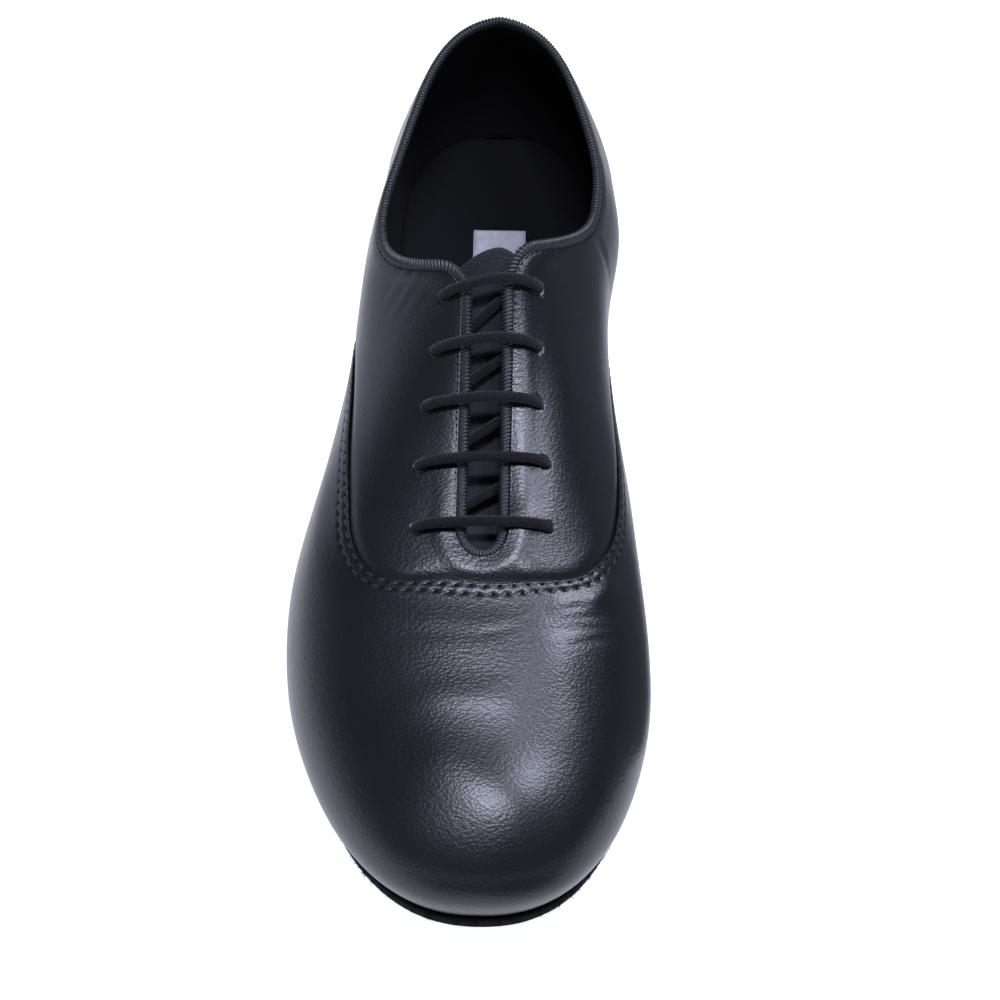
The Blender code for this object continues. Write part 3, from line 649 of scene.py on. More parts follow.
def edge_faces(columns, closed, rows_a, start_a, rows_b, start_b):
    """Quads that join one row of two grids, given each grid's rows and the row's first vertex."""
    a = np.arange(columns if closed else columns - 1)
    b = (a + 1) % columns
    return np.stack([start_a + a * rows_a, start_a + b * rows_a,
                     start_b + b * rows_b, start_b + a * rows_b], -1)


def grid_faces(columns, rows, closed, start=0):
    """Quads of a grid whose vertices run column by column."""
    strips = [edge_faces(columns, closed, rows, start + k, rows, start + k + 1) for k in range(rows - 1)]
    return np.stack(strips, 1).reshape(-1, 4)


def torus_faces(columns, rows):
    """Quads of a grid that is closed both ways."""
    last_to_first = edge_faces(columns, True, rows, rows - 1, rows, 0)
    return np.concatenate([grid_faces(columns, rows, True), last_to_first])


def ring_faces(rings, around):
    """Faces of a solid whose vertices run ring by ring: quads between the rings and a cap at each end."""
    r = np.arange(rings - 1)[:, None] * around
    k = np.arange(around)[None]
    j = (k + 1) % around
    quads = np.stack(np.broadcast_arrays(r + k, r + j, r + around + j, r + around + k), -1).reshape(-1, 4)
    last = (rings - 1) * around
    return quads.tolist() + [list(range(around))[::-1], list(range(last, last + around))]


def ring_solid(name, rings, materials, face_slots=None):
    """A closed solid through rings of points that run from one end to the other."""
    rings = np.array(rings)
    return mesh_object(name, rings.reshape(-1, 3), ring_faces(*rings.shape[:2]), materials, face_slots)


def copies(name, vertices, faces, material, solid=True):
    """Many small shapes as one mesh: the vertices of each, and the faces of one."""
    size = vertices.shape[1]
    every = [[v + k * size for v in face] for k in range(len(vertices)) for face in faces]
    return mesh_object(name, vertices.reshape(-1, 3), every, [material], solid=solid)


def shell_object(name, outer, inner, closed, materials):
    """A closed wall between two grids; its outer face takes the first material, its inner face the second."""
    columns, rows = outer.shape[:2]
    kept = np.unique(np.append(np.arange(0, rows, INNER_THINNING), rows - 1))
    size, thin = columns * rows, len(kept)
    faces = [grid_faces(columns, rows, closed), grid_faces(columns, thin, closed, size)[:, ::-1],
             edge_faces(columns, closed, rows, 0, thin, size),
             edge_faces(columns, closed, rows, rows - 1, thin, size + thin - 1)]
    slots = np.concatenate([np.full(len(f), 1 if i == 1 else 0) for i, f in enumerate(faces)])
    faces = np.concatenate(faces).tolist()
    if not closed:
        for column in (0, columns - 1):
            out = list(range(column * rows, (column + 1) * rows))
            back = list(range(size + column * thin, size + (column + 1) * thin))
            faces.append(out + back[::-1])
        slots = np.append(slots, [0, 0])
    vertices = np.concatenate([outer.reshape(-1, 3), inner[:, kept].reshape(-1, 3)])
    return mesh_object(name, vertices, faces, materials, slots)


def capsules(name, centres, directions, normals, size, material):
    """Many small rounded stitches: each lies along its direction and stands up along its normal."""
    directions = unit(directions)
    normals = unit(normals - directions * np.sum(normals * directions, 1, keepdims=True))
    axes = np.stack([directions, np.cross(normals, directions), normals], 1)
    share = np.linspace(-1, 1, CAPSULE_ALONG)
    girth = superellipse(np.abs(share), CAPSULE_POWER)
    girth[[0, -1]] = CAPSULE_TIP
    angles = circle(CAPSULE_AROUND)
    body = np.stack([np.repeat(share, CAPSULE_AROUND), np.outer(girth, np.cos(angles)).ravel(),
                     np.outer(girth, np.sin(angles)).ravel()], -1) * np.array(size) / 2
    faces = ring_faces(CAPSULE_ALONG, CAPSULE_AROUND)
    return copies(name, centres[:, None] + body @ axes, faces, material)


def fibres(name, roots, directions, lengths, thickness, material):
    """Many short hairs: thin three-sided cones."""
    directions = unit(directions)
    upright = np.abs(directions[:, 2:]) > UPRIGHT
    side = unit(np.cross(directions, np.where(upright, [[1.0, 0.0, 0.0]], [[0.0, 0.0, 1.0]])))
    other = np.cross(directions, side)
    corners = [roots + thickness / 2 * (math.cos(a) * side + math.sin(a) * other) for a in circle(3)]
    vertices = np.stack(corners + [roots + directions * lengths[:, None]], 1)
    return copies(name, vertices, ((0, 1, 3), (1, 2, 3), (2, 0, 3), (0, 2, 1)), material, solid=False)


# Materials

def add(tree, kind, inputs, **settings):
    """A node with its settings and inputs; an input that is a socket is linked."""
    made = tree.nodes.new(kind)
    for key, value in settings.items():
        setattr(made, key, value)
    for key, value in inputs.items():
        if isinstance(value, bpy.types.NodeSocket):
            tree.links.new(value, made.inputs[key])
        else:
            made.inputs[key].default_value = value
    return made


def noise(tree, coords, scale, detail=2.0, distortion=0.0):
    return add(tree, "ShaderNodeTexNoise", {"Vector": coords, "Scale": scale, "Detail": detail,
                                            "Distortion": distortion}).outputs["Fac"]


def cells(tree, coords, scale, **settings):
    inputs = {"Vector": coords, "Scale": scale}
    return add(tree, "ShaderNodeTexVoronoi", inputs, **settings)


def math_node(tree, operation, first, second=0.0, third=0.0):
    return add(tree, "ShaderNodeMath", {0: first, 1: second, 2: third}, operation=operation).outputs[0]


def map_range(tree, value, low, high, to_low, to_high):
    return add(tree, "ShaderNodeMapRange", {"Value": value, "From Min": low, "From Max": high,
                                            "To Min": to_low, "To Max": to_high}).outputs["Result"]


def new_material(name, colour, roughness, **sockets):
    """A material with a Principled shader; returns it with its tree and shader."""
    material = bpy.data.materials.new(name)
    material.use_nodes = True
    tree = material.node_tree
    shader = tree.nodes["Principled BSDF"]
    shader.inputs["Base Color"].default_value = (*colour, 1.0)
    shader.inputs["Roughness"].default_value = roughness
    for key, value in sockets.items():
        shader.inputs[key.replace("_", " ")].default_value = value
    return material, tree, shader


def finish(name, colour, roughness, tint=None, gloss=None, relief=None, **sockets):
    """A procedural finish.

    tint: noise scale and detail, and the two colours that it runs between.
    gloss: noise scale, and the two roughnesses that it runs between.
    relief: a height as a function of tree and coordinates, its strength and its depth.
    """
    material, tree, shader = new_material(name, colour, roughness, **sockets)
    coords = add(tree, "ShaderNodeTexCoord", {}).outputs["Object"]
    if tint:
        scale, detail, dark, light = tint
        mixed = add(tree, "ShaderNodeMix", {"Factor": noise(tree, coords, scale, detail), "A": (*dark, 1.0),
                                            "B": (*light, 1.0)}, data_type="RGBA")
        tree.links.new(mixed.outputs["Result"], shader.inputs["Base Color"])
    if gloss:
        scale, low, high = gloss
        ranged = map_range(tree, noise(tree, coords, scale), *NOISE_SPAN, low, high)
        tree.links.new(ranged, shader.inputs["Roughness"])
    if relief:
        height, strength, depth = relief
        dented = add(tree, "ShaderNodeBump", {"Height": height(tree, coords), "Strength": strength,
                                              "Distance": depth})
        tree.links.new(dented.outputs["Normal"], shader.inputs["Normal"])
    return material


def shades(colour, low, high):
    return tuple(low * c for c in colour), tuple(high * c for c in colour)


def leather_grain(tree, coords):
    """Small soft cells, a little wider than long, with finer noise over them."""
    drawn = add(tree, "ShaderNodeMapping", {"Vector": coords, "Scale": (0.75, 1.0, 1.0)}).outputs["Vector"]
    soft = cells(tree, drawn, 1250.0, feature="SMOOTH_F1")
    soft.inputs["Smoothness"].default_value = 0.35
    fine = noise(tree, drawn, 2600.0, 1.0, 0.3)
    return math_node(tree, "MULTIPLY_ADD", fine, 0.55, soft.outputs["Distance"])


def leather(name):
    """Fine-grained satin black leather."""
    return finish(name, (0.0035, 0.0035, 0.0048), 0.35,
                  tint=(25.0, 2.0, (0.0028, 0.0028, 0.0040), (0.0042, 0.0042, 0.0056)),
                  gloss=(60.0, 0.33, 0.37), relief=(leather_grain, 0.85, 0.08 * MM),
                  Specular_IOR_Level=0.5, Coat_Weight=0.10, Coat_Roughness=0.30)


def textile(name, colour, scale):
    """Matt woven cloth."""
    return finish(name, colour, 0.95, tint=(400.0, 3.0, *shades(colour, 0.7, 1.3)), relief=(
        lambda tree, coords: cells(tree, coords, scale).outputs["Distance"], 0.4, 0.2 * MM),
                  Specular_IOR_Level=0.2)


def suede(name, colour):
    """Matt leather with a short nap."""
    return finish(name, colour, 0.95, tint=(90.0, 4.0, *shades(colour, 0.6, 1.5)), relief=(
        lambda tree, coords: noise(tree, coords, 1800.0, 4.0, 0.5), 0.9, 0.5 * MM),
                  Specular_IOR_Level=0.10, Sheen_Weight=0.05, Sheen_Roughness=0.6)


def ribbed_tape():
    """Satin ribbed tape; the ribs themselves are in its mesh."""
    return finish("ribbed_tape", (0.010, 0.010, 0.0125), 0.46, gloss=(700.0, 0.40, 0.55), relief=(
        lambda tree, coords: noise(tree, coords, 4000.0), 0.35, 0.08 * MM),
                  Specular_IOR_Level=0.55, Sheen_Weight=0.08, Sheen_Roughness=0.4)


def woven_cord():
    """Matt spun cotton of the lace."""
    return finish("woven_cord", (0.005, 0.005, 0.006), 0.95,
                  tint=(1100.0, 3.0, (0.0018, 0.0018, 0.0025), (0.0105, 0.0105, 0.0128)), relief=(
                      lambda tree, coords: noise(tree, coords, 1500.0, 3.0), 1.0, 0.5 * MM),
                  Specular_IOR_Level=0.20, Sheen_Weight=0.10, Sheen_Roughness=0.5)


def black_thread():
    return finish("black_thread", (0.010, 0.010, 0.013), 0.5, relief=(
        lambda tree, coords: noise(tree, coords, 3000.0), 0.5, 0.1 * MM),
                  Sheen_Weight=0.15, Sheen_Roughness=0.4)


def needle_shade():
    """Near-black finish of painted shade, for thread and needle holes as dark as if deep in a groove."""
    return finish("needle_shade", (0.0012, 0.0012, 0.0016), 0.8, gloss=(2500.0, 0.7, 0.95),
                  Specular_IOR_Level=0.15)


# Pieces

def place(shape, slot, *replaced):
    """Every piece moves with the part's one body and hides the parts that it replaces; slot is not used."""
    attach(shape, "root")
    if replaced:
        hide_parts(*replaced)
    return shape


def fold_lift(points):
    """Height that the folds add at points of the upper; they fade out down at the widest line."""
    x = (points[..., 0] - MIDDLE_PLANE_X) / MM
    station = LENGTH / 2 - points[..., 1]
    lift = np.zeros(x.shape)
    for at_x, at_station, turn, half_length, half_width, height in FOLDS:
        c, s = math.cos(math.radians(turn)), math.sin(math.radians(turn))
        aside, ahead = x - at_x, station / MM - at_station
        along, across = (aside * c + ahead * s) / half_length, (ahead * c - aside * s) / half_width
        lift += height * np.exp(-along ** 4 - across ** 2)
    return lift * MM * smoothstep(0, FOLD_FADE, points[..., 2] - bulge_height(station))


def vamp_lift(depth, beats=(0.0, 0.0)):
    """Height of the vamp's face over the form, by distance from its edge: lap, round edge and stitch grooves.

    The beats, one for each row, run from -1 at the middle of a stitch to 1 at a needle hole.
    """
    lap = (LAP + SWELL * smoothstep(*SWELL_RUN, depth)) * (1 - smoothstep(*LAP_RUN, depth))
    edge = EDGE_ROUND * (1 - np.sqrt(1 - (1 - np.clip(depth / EDGE_ROUND, 0, 1)) ** 2))
    grooves = sum((GROOVE + GROOVE_BEAT * beat) * bell(depth, row, GROOVE_WIDTH)
                  for row, beat in zip(STITCH_ROWS, beats))
    return lap - edge - grooves


def stitch_beat(columns, which, row, shift):
    """Where each column meets a row of stitches: -1 at the middle of a stitch, 1 at a needle hole."""
    sewn = columns.seam[which] > SEWN_FROM
    run = run_lengths(columns.points((columns.seam[which] - row).clip(0)[:, None], which)[:, 0])
    turns = (run - run[sewn][0]) / STITCH_PITCH - STITCH_PHASE - 0.5 - shift
    return np.where(sewn, np.cos(2 * math.pi * turns), 0.0)


def make_vamp(columns, material, lining):
    """Front of the upper, from the feather line to its lapped and twice-stitched top edge."""
    which = np.where(columns.has_vamp & (columns.seam > VAMP_FROM))[0]
    seam = columns.seam[which]
    places = spread_rows(np.zeros(len(which)), seam, NEAR_FEATHER, NEAR_SEAM, VAMP_ROWS)
    grid = columns.points(places, which)
    normals = surface_normals(grid, False)
    depth = seam[:, None] - places
    short = np.minimum(1.0, seam / SHORT_VAMP)[:, None]
    beats = [stitch_beat(columns, which, *row)[:, None] for row in zip(STITCH_ROWS, STITCH_SHIFTS)]
    outer = grid + normals * (vamp_lift(depth, beats) * short + fold_lift(grid))[..., None]
    thickness = (SKIVED - SKIVED_LEAST + SKIVE * smoothstep(*SKIVE_RUN, depth)) * short + SKIVED_LEAST
    inner = grid - normals * thickness[..., None]
    for layer in (outer, inner):
        layer[:, 0, 2] -= GAP
    place(shell_object("vamp", outer, inner, False, [material, lining]), "upper", "upper")


def make_quarters(columns, material, lining):
    """Back of the upper, from the feather line (or from under the vamp's edge) to the opening's edge."""
    low = np.where(columns.has_vamp, np.maximum(columns.seam - SEAM_UNDERLAP, 0), 0)
    places = spread_rows(low, columns.total, NEAR_UNDERLAP, NEAR_EDGE, QUARTER_ROWS)
    grid = columns.points(places)
    normals = surface_normals(grid, True)
    past_seam = places - columns.seam[:, None]
    from_edge = columns.total[:, None] - places
    front, facing, ring, quiet = (columns.rise(*rise)
                                  for rise in (DIP_RISE, FACING_RISE, RING_RISE, QUIET_RISE))
    tucked = np.where(past_seam > 0, TUCK * bell(past_seam, 0, TUCK_WIDTH),
                      TUCK + TUCK_UNDER * smoothstep(0, TUCK_STEP, -past_seam))
    tucked += DIP * front * bell(past_seam, 0, DIP_WIDTH)
    tucked *= np.where(columns.has_vamp, np.minimum(1, columns.seam / SHORT_TUCK), 0)[:, None]
    puff = PUFF + PUFF_QUIET * quiet + PUFF_FACING * facing + PUFF_BOTH * quiet * facing
    puff = puff * (1 - PUFF_RING * ring)
    puff = puff * bell(from_edge, PUFF_AT + PUFF_AT_RING * ring, PUFF_WIDTH + PUFF_WIDTH_RING * ring)
    groove = EDGE_GROOVE - EDGE_GROOVE_LESS * np.maximum(quiet, facing)
    groove = groove * bell(from_edge, EDGE_GROOVE_AT, EDGE_GROOVE_WIDTH)
    order = np.arange(columns.count)
    seam = BACK_SEAM * bell(np.minimum(order, columns.count - order), 0, BACK_SEAM_COLUMNS)[:, None]
    outer = grid + normals * (puff - tucked - groove - seam + fold_lift(grid))[..., None]
    inner = grid - normals * (WALL - LINING_GAP)
    for layer in (outer, inner):
        layer[:, 0, 2] -= np.where(low == 0, GAP, 0)
    shape = shell_object("quarters", outer, inner, True, [material, lining])
    punch_eyelets(place(shape, "upper", "upper"))


def stitch_row(line, normals, pitch, shift=0.0):
    """Places, directions and normals of the stitches along a line."""
    run = run_lengths(line)
    at = (np.arange(int(run[-1] / pitch)) + STITCH_PHASE + shift) * pitch
    along = resample(line, at + STITCH_REACH) - resample(line, at - STITCH_REACH)
    return resample(line, at), along, read_at(at, run, normals)


def turned(spots, directions, normals, degrees):
    """Stitches turned about their normals."""
    angle = math.radians(degrees)
    return spots, directions * math.cos(angle) + np.cross(normals, directions) * math.sin(angle), normals


def make_vamp_stitches(columns, thread, shade):
    """Two rows of thread in the grooves beside the vamp's edge, with a near-black capsule after each stitch
    that paints the shade of a needle hole.
    """
    which = np.where(columns.has_vamp & (columns.seam > SEWN_FROM))[0]
    threads, holes = [], []
    for row, shift in zip(STITCH_ROWS, STITCH_SHIFTS):
        places = (columns.seam[which] - row)[:, None] + np.array([-0.4, 0, 0.4])[None] * MM
        grid = columns.points(places, which)
        normal = surface_normals(grid, False)[:, 1]
        # Each needle hole is a near-black capsule on the surface: painted shade, not a hole cut in the
        # leather
        for rows, lift, later, turn in ((threads, vamp_lift(row) + STITCH_LIFT, 0.0, STITCH_TURN),
                                        (holes, vamp_lift(row, (1.0, 1.0)) + HOLE_SHADE_LIFT, 0.5, HOLE_SHADE_TURN)):
            line = grid[:, 1] + normal * (lift + fold_lift(grid[:, 1]))[:, None]
            rows.append(turned(*stitch_row(line, normal, STITCH_PITCH, shift + later), turn))
    for name, rows, size, material in (("vamp_stitches", threads, STITCH_SIZE, thread),
                                       ("vamp_needle_hole_shade", holes, HOLE_SHADE_SIZE, shade)):
        place(capsules(name, *(np.concatenate(part) for part in zip(*rows)), size, material), "upper")


def opening_loop(columns):
    """The opening's edge as a closed loop of points, outward normals and directions into the opening."""
    grid = columns.points(columns.total[:, None] - np.array([1.0, 0.5, 0.0])[None] * MM)
    edge = grid[:, 2]
    normal = surface_normals(grid, True)[:, 1]
    inward = unit(np.cross(normal, np.roll(edge, -1, 0) - np.roll(edge, 1, 0)))
    if np.mean(inward * (edge - grid[:, 0])) < 0:
        inward = -inward
    for _ in range(LOOP_SMOOTHING):
        normal, inward = ((np.roll(v, 1, 0) + 2 * v + np.roll(v, -1, 0)) / 4 for v in (normal, inward))
    return [np.concatenate([values, values[:1]]) for values in (edge, normal, inward)]


def make_binding(columns, material, thread):
    """Ribbed tape folded over the opening's edge, sewn down along its outer border with stitches drawn in
    painted shade.
    """
    loop = opening_loop(columns)
    run = run_lengths(loop[0])
    count, ribs = round(run[-1] / RIB_STEP), round(run[-1] / RIB_PITCH)
    places = np.arange(count) * run[-1] / count
    edge, normal, inward = (read_at(places, run, values) for values in loop)
    centre = edge - normal * WALL / 2 + inward * (BINDING_WIDTH / 2 - TAPE_LAP)
    rings = []
    for angle in circle(TAPE_SIDES):
        c, s = math.cos(angle), math.sin(angle)
        reach = (abs(c) ** BINDING_POWER + abs(s) ** BINDING_POWER) ** (-1 / BINDING_POWER)
        wave = np.abs(np.sin(math.pi * (places / run[-1] * ribs + RIB_SLANT * c))) ** RIB_POWER
        reach = reach * (1 - RIB_DEPTH * (1 - wave))[:, None]
        rings.append(centre + (inward * BINDING_WIDTH / 2 * c + normal * BINDING_THICKNESS / 2 * s) * reach)
    vertices = np.array(rings).transpose(1, 0, 2).reshape(-1, 3)
    shape = mesh_object("topline_tape", vertices, torus_faces(count, TAPE_SIDES), [material])
    place(shape, "topline_binding", "topline_binding")
    border = edge - inward * TAPE_BORDER + normal * TAPE_STITCH_LIFT
    # The stitches take the near-black needle_shade finish passed in as thread: painted shade of dark stitch
    # pits
    sewn = stitch_row(border, normal, TAPE_STITCH_PITCH)
    place(capsules("tape_stitches", *sewn, TAPE_STITCH_SIZE, thread), "topline_binding")


def eyelet_places():
    """Plan places of the eyelets from the top pair down: (lateral, medial) pairs of (x, station)."""
    return [((-lateral, station * LENGTH + skew), (medial, station * LENGTH))
            for station, skew, lateral, medial in EYELETS]


def eyelet_frames():
    """Middle and axis of each eyelet."""
    return [(on_form(*spot), form_normal(*spot)) for pair in eyelet_places() for spot in pair]


def punch_eyelets(shape):
    """Cuts the lace's holes through a wall of two faces and lines them."""
    bm = bmesh.new()
    bm.from_mesh(shape.data)
    bm.faces.ensure_lookup_table()
    centres = np.array([f.calc_center_median() for f in bm.faces])
    doomed = set()
    for centre, axis in eyelet_frames():
        away = centres - centre
        depth = away @ axis
        radial = np.linalg.norm(away - depth[:, None] * axis, axis=1)
        doomed.update(np.where((radial < EYELET_RADIUS) & (np.abs(depth) < 2 * WALL))[0])
    bmesh.ops.delete(bm, geom=[bm.faces[i] for i in doomed], context="FACES")
    rim = [e for e in bm.edges if e.is_boundary]
    for centre, axis in eyelet_frames():
        centre, axis = Vector(centre), Vector(axis)
        ring = [e for e in rim if (e.verts[0].co - centre).length < 3 * EYELET_RADIUS]
        for vertex in {v for e in ring for v in e.verts}:
            away = vertex.co - centre
            depth = away.dot(axis)
            vertex.co = centre + axis * depth + (away - axis * depth).normalized() * EYELET_RADIUS
        bmesh.ops.bridge_loops(bm, edges=ring)
    bm.to_mesh(shape.data)
    bm.free()


def make_eyelet_rims(material):
    """Turned edges of the punched holes: one small ring of leather round each."""
    turn, tube_turn = (circle(count) for count in RIM_DIVISIONS)
    radius = EYELET_RADIUS + EYELET_RIM * np.cos(tube_turn)
    height = EYELET_RIM * np.sin(tube_turn) - EYELET_RIM_SINK
    rims = []
    for centre, axis in eyelet_frames():
        across = unit(np.cross(axis, [0.0, 1.0, 0.0]))
        out = np.cos(turn)[:, None] * across + np.sin(turn)[:, None] * np.cross(axis, across)
        rims.append((centre + out[:, None] * radius[:, None] + axis * height[:, None]).reshape(-1, 3))
    place(copies("eyelet_rims", np.array(rims), torus_faces(*RIM_DIVISIONS).tolist(), material), "upper")


def smooth_path(points, step):
    """Catmull-Rom curve through the points, read at even steps."""
    points = np.asarray(points)
    ends = np.concatenate([2 * points[:1] - points[1:2], points, 2 * points[-1:] - points[-2:-1]])
    t = np.linspace(0, 1, ROUND_STEPS, endpoint=False)[:, None]
    pieces = [0.5 * (2 * b + (c - a) * t + (2 * a - 5 * b + 4 * c - d) * t ** 2
                     + (3 * b - a - 3 * c + d) * t ** 3)
              for a, b, c, d in zip(ends, ends[1:], ends[2:], ends[3:])]
    curve = np.concatenate(pieces + [points[-1:]])
    total = run_lengths(curve)[-1]
    return resample(curve, np.linspace(0, total, int(round(total / step)) + 1))


def lace_run(start, end, lift):
    """Points between two eyelets at one lift, starting and ending a turn's length inside them."""
    start, end = np.array(start), np.array(end)
    turn = unit(end - start) * LACE_TURN
    plan = start + turn + (end - start - 2 * turn) * np.linspace(0, 1, LACE_RUN_POINTS)[:, None]
    return [off_form(x, station, lift) for x, station in plan]


def lace_route():
    """The lace from its hidden end at the top of the medial side to that at the top lateral eyelet."""
    pairs = eyelet_places()
    up = (-LACE_DROP, -WALL / 2, LACE_RISE)
    inner = [HIDDEN_RUN_OFFSET] * (len(pairs) - 1) + [LACE_TURN]
    route = [off_form(x + offset, station, -LACE_UNDER)
             for (_, (x, station)), offset in zip(pairs, inner)]
    for k in range(len(pairs) - 1, -1, -1):
        lateral, medial = pairs[k]
        route += [off_form(*medial, lift) for lift in up] + lace_run(medial, lateral, LACE_OVER)
        route += [off_form(*lateral, lift) for lift in up[::-1]]
        if k > 0:
            route += lace_run(lateral, pairs[k - 1][1], -LACE_UNDER)
    x, station = pairs[0][0]
    return route + [off_form(x + LACE_TURN, station, -LACE_UNDER)]


def make_lace(material):
    """Round woven cord through the eyelets, with a little fuzz."""
    path = smooth_path(lace_route(), LACE_STEP)
    tangents = unit(np.gradient(path, axis=0))
    angles = circle(LACE_SIDES)
    side = np.cross(tangents[0], [0.0, 0.0, 1.0])
    rings = []
    for point, tangent, run in zip(path, tangents, run_lengths(path)):
        side = unit(side - tangent * (side @ tangent))
        out = np.cos(angles)[:, None] * side + np.sin(angles)[:, None] * np.cross(tangent, side)
        turn = 2 * math.pi * run / WEAVE_LENGTH
        weave = np.cos(WEAVE_STRANDS * angles + turn) * np.cos(WEAVE_STRANDS * angles - turn)
        rings.append(point + LACE_DIAMETER / 2 * (1 + WEAVE_DEPTH * weave)[:, None] * out)
    place(ring_solid("lace_cord", rings, [material]), "lace", "lace")
    rng = np.random.default_rng(FUZZ_SEED)
    pick = rng.integers(1, len(path) - 1, FUZZ_COUNT)
    along = tangents[pick]
    outward = rng.normal(size=(FUZZ_COUNT, 3))
    outward = unit(outward - along * np.sum(outward * along, 1, keepdims=True))
    roots = path[pick] + outward * LACE_DIAMETER / 2 * FUZZ_ROOT
    roots += along * rng.uniform(-0.5, 0.5, (FUZZ_COUNT, 1)) * LACE_STEP
    lean = outward + along * rng.normal(0, FUZZ_LEAN, (FUZZ_COUNT, 1))
    lengths = rng.uniform(*FUZZ_LENGTHS, FUZZ_COUNT) * MM
    place(fibres("lace_fuzz", roots, lean, lengths, FUZZ_THICKNESS, material), "lace")


def tongue_leaf(stations, share, extra):
    """Points of the tongue at shares of its half width, a distance under its top face."""
    x = THROAT_MIDDLE + share * TONGUE_FORM["half_width"](stations)
    return off_form(x, stations, -TONGUE_FORM["depth"](stations) - extra)


def make_tongue(material, thread):
    """Leaf under the facings, with a rounded and stitched top edge."""
    share = np.linspace(-1, 1, TONGUE_ACROSS)
    top = (TONGUE_TOP + TONGUE_TOP_ROUND * np.abs(share - TONGUE_TOP_SHIFT) ** TONGUE_TOP_POWER) * LENGTH
    stations = top[:, None] + (TONGUE[-1][0] * LENGTH - top)[:, None] * np.linspace(0, 1, TONGUE_ROWS)[None]
    layers = [tongue_leaf(stations, share[:, None], extra) for extra in (0.0, TONGUE_THICKNESS)]
    place(shell_object("tongue_leaf", *layers, False, [material, material]), "tongue", "tongue")
    inside = np.linspace(-TONGUE_SEWN, TONGUE_SEWN, TONGUE_SEAM_STEPS)
    row = np.interp(inside, share, top) + TONGUE_BORDER
    normals = form_normal(THROAT_MIDDLE + inside * TONGUE_FORM["half_width"](row), row)
    sewn = stitch_row(tongue_leaf(row, inside, -TONGUE_STITCH_LIFT), normals, TONGUE_STITCH_PITCH)
    place(capsules("tongue_stitches", *sewn, TONGUE_STITCH_SIZE, thread), "tongue")


def rounded_section(left, right, bottom, top):
    """Section of the sole with round lower edges, as x and z values round it."""
    turn = np.linspace(0, math.pi / 2, SOLE_ROUND_STEPS)
    narrow = min(1.0, (right - left) / (4 * SOLE_ROUND))
    inset = np.concatenate([[0.0, 0.0], SOLE_ROUND * (1 - np.cos(turn))]) * narrow
    height = np.concatenate([[top, (top + bottom) / 2], bottom + SOLE_ROUND * (1 - np.sin(turn))])
    share = np.linspace(0, 1, SOLE_ACROSS + 2)[1:-1]
    low_left, low_right = left + inset[-1], right - inset[-1]
    x = np.concatenate([left + inset, low_left + (low_right - low_left) * share,
                        (right - inset)[::-1], right + (left - right) * share])
    z = np.concatenate([height, np.full(SOLE_ACROSS, bottom), height[::-1], np.full(SOLE_ACROSS, top)])
    return x, z


def sole_stations(count):
    """Stations from end to end of the outsole, close together at its ends."""
    start, end = FEATHER_BACK - SOLE_EDGE, FEATHER_TIP + SOLE_EDGE
    return start + (end - start) * cosine_steps(count + 2)[1:-1]


def make_outsole(material):
    """Thin suede sole with softly rounded edges."""
    sections = []
    for station in sole_stations(SOLE_SECTIONS):
        left, right = (float(feather_x(station, side, SOLE_EDGE)) for side in (LATERAL, MEDIAL))
        bottom = sole_bottom(station)
        x, z = rounded_section(left, right, bottom, bottom + SOLE_THICKNESS)
        sections.append(world(x, np.full(len(x), station), z))
    place(ring_solid("suede_outsole", sections, [material]), "outsole", "outsole")


def make_nap(material):
    """Raised fibres along the outsole's cut edge."""
    rng = np.random.default_rng(NAP_SEED)
    fine = sole_stations(FINE_STEPS - 2)
    lateral, medial = (np.stack([feather_x(fine, side, SOLE_EDGE), fine], -1) for side in (LATERAL, MEDIAL))
    outline = np.concatenate([lateral, medial[::-1]])
    total = run_lengths(outline)[-1]
    at = rng.uniform(0, total, NAP_COUNT)
    clumps = rng.uniform(0, total, NAP_CLUMPS)
    clumped = len(at[::3])
    at[::3] = rng.choice(clumps, clumped) + rng.normal(0, NAP_CLUMP_WIDTH, clumped)
    before, spot, after = (resample(outline, np.clip(at + shift, 0, total)) for shift in (-MM, 0.0, MM))
    along = after - before
    out = unit(np.stack([along[:, 1], -along[:, 0]], -1))
    out *= np.where(np.sum(out * (spot - [0.0, LENGTH / 2]), 1, keepdims=True) < 0, -1, 1)
    height = sole_bottom(spot[:, 1]) + SOLE_THICKNESS * rng.uniform(*NAP_HEIGHTS, NAP_COUNT)
    spot = spot - out * NAP_ROOT
    roots = world(spot[:, 0], spot[:, 1], height)
    lean = np.stack([out[:, 0], -out[:, 1], np.zeros(NAP_COUNT)], -1)
    lean += rng.normal(0, NAP_LEAN, (NAP_COUNT, 3))
    lengths = rng.uniform(*NAP_LENGTHS, NAP_COUNT) * MM
    lengths[::3] *= NAP_CLUMP_LENGTH
    tips = roots[:, 2] + unit(lean)[:, 2] * lengths
    lean[:, 2] = np.where(tips < sole_bottom(spot[:, 1]), np.abs(lean[:, 2]), lean[:, 2])
    place(fibres("sole_nap", roots, lean, lengths, NAP_THICKNESS, material), "outsole")


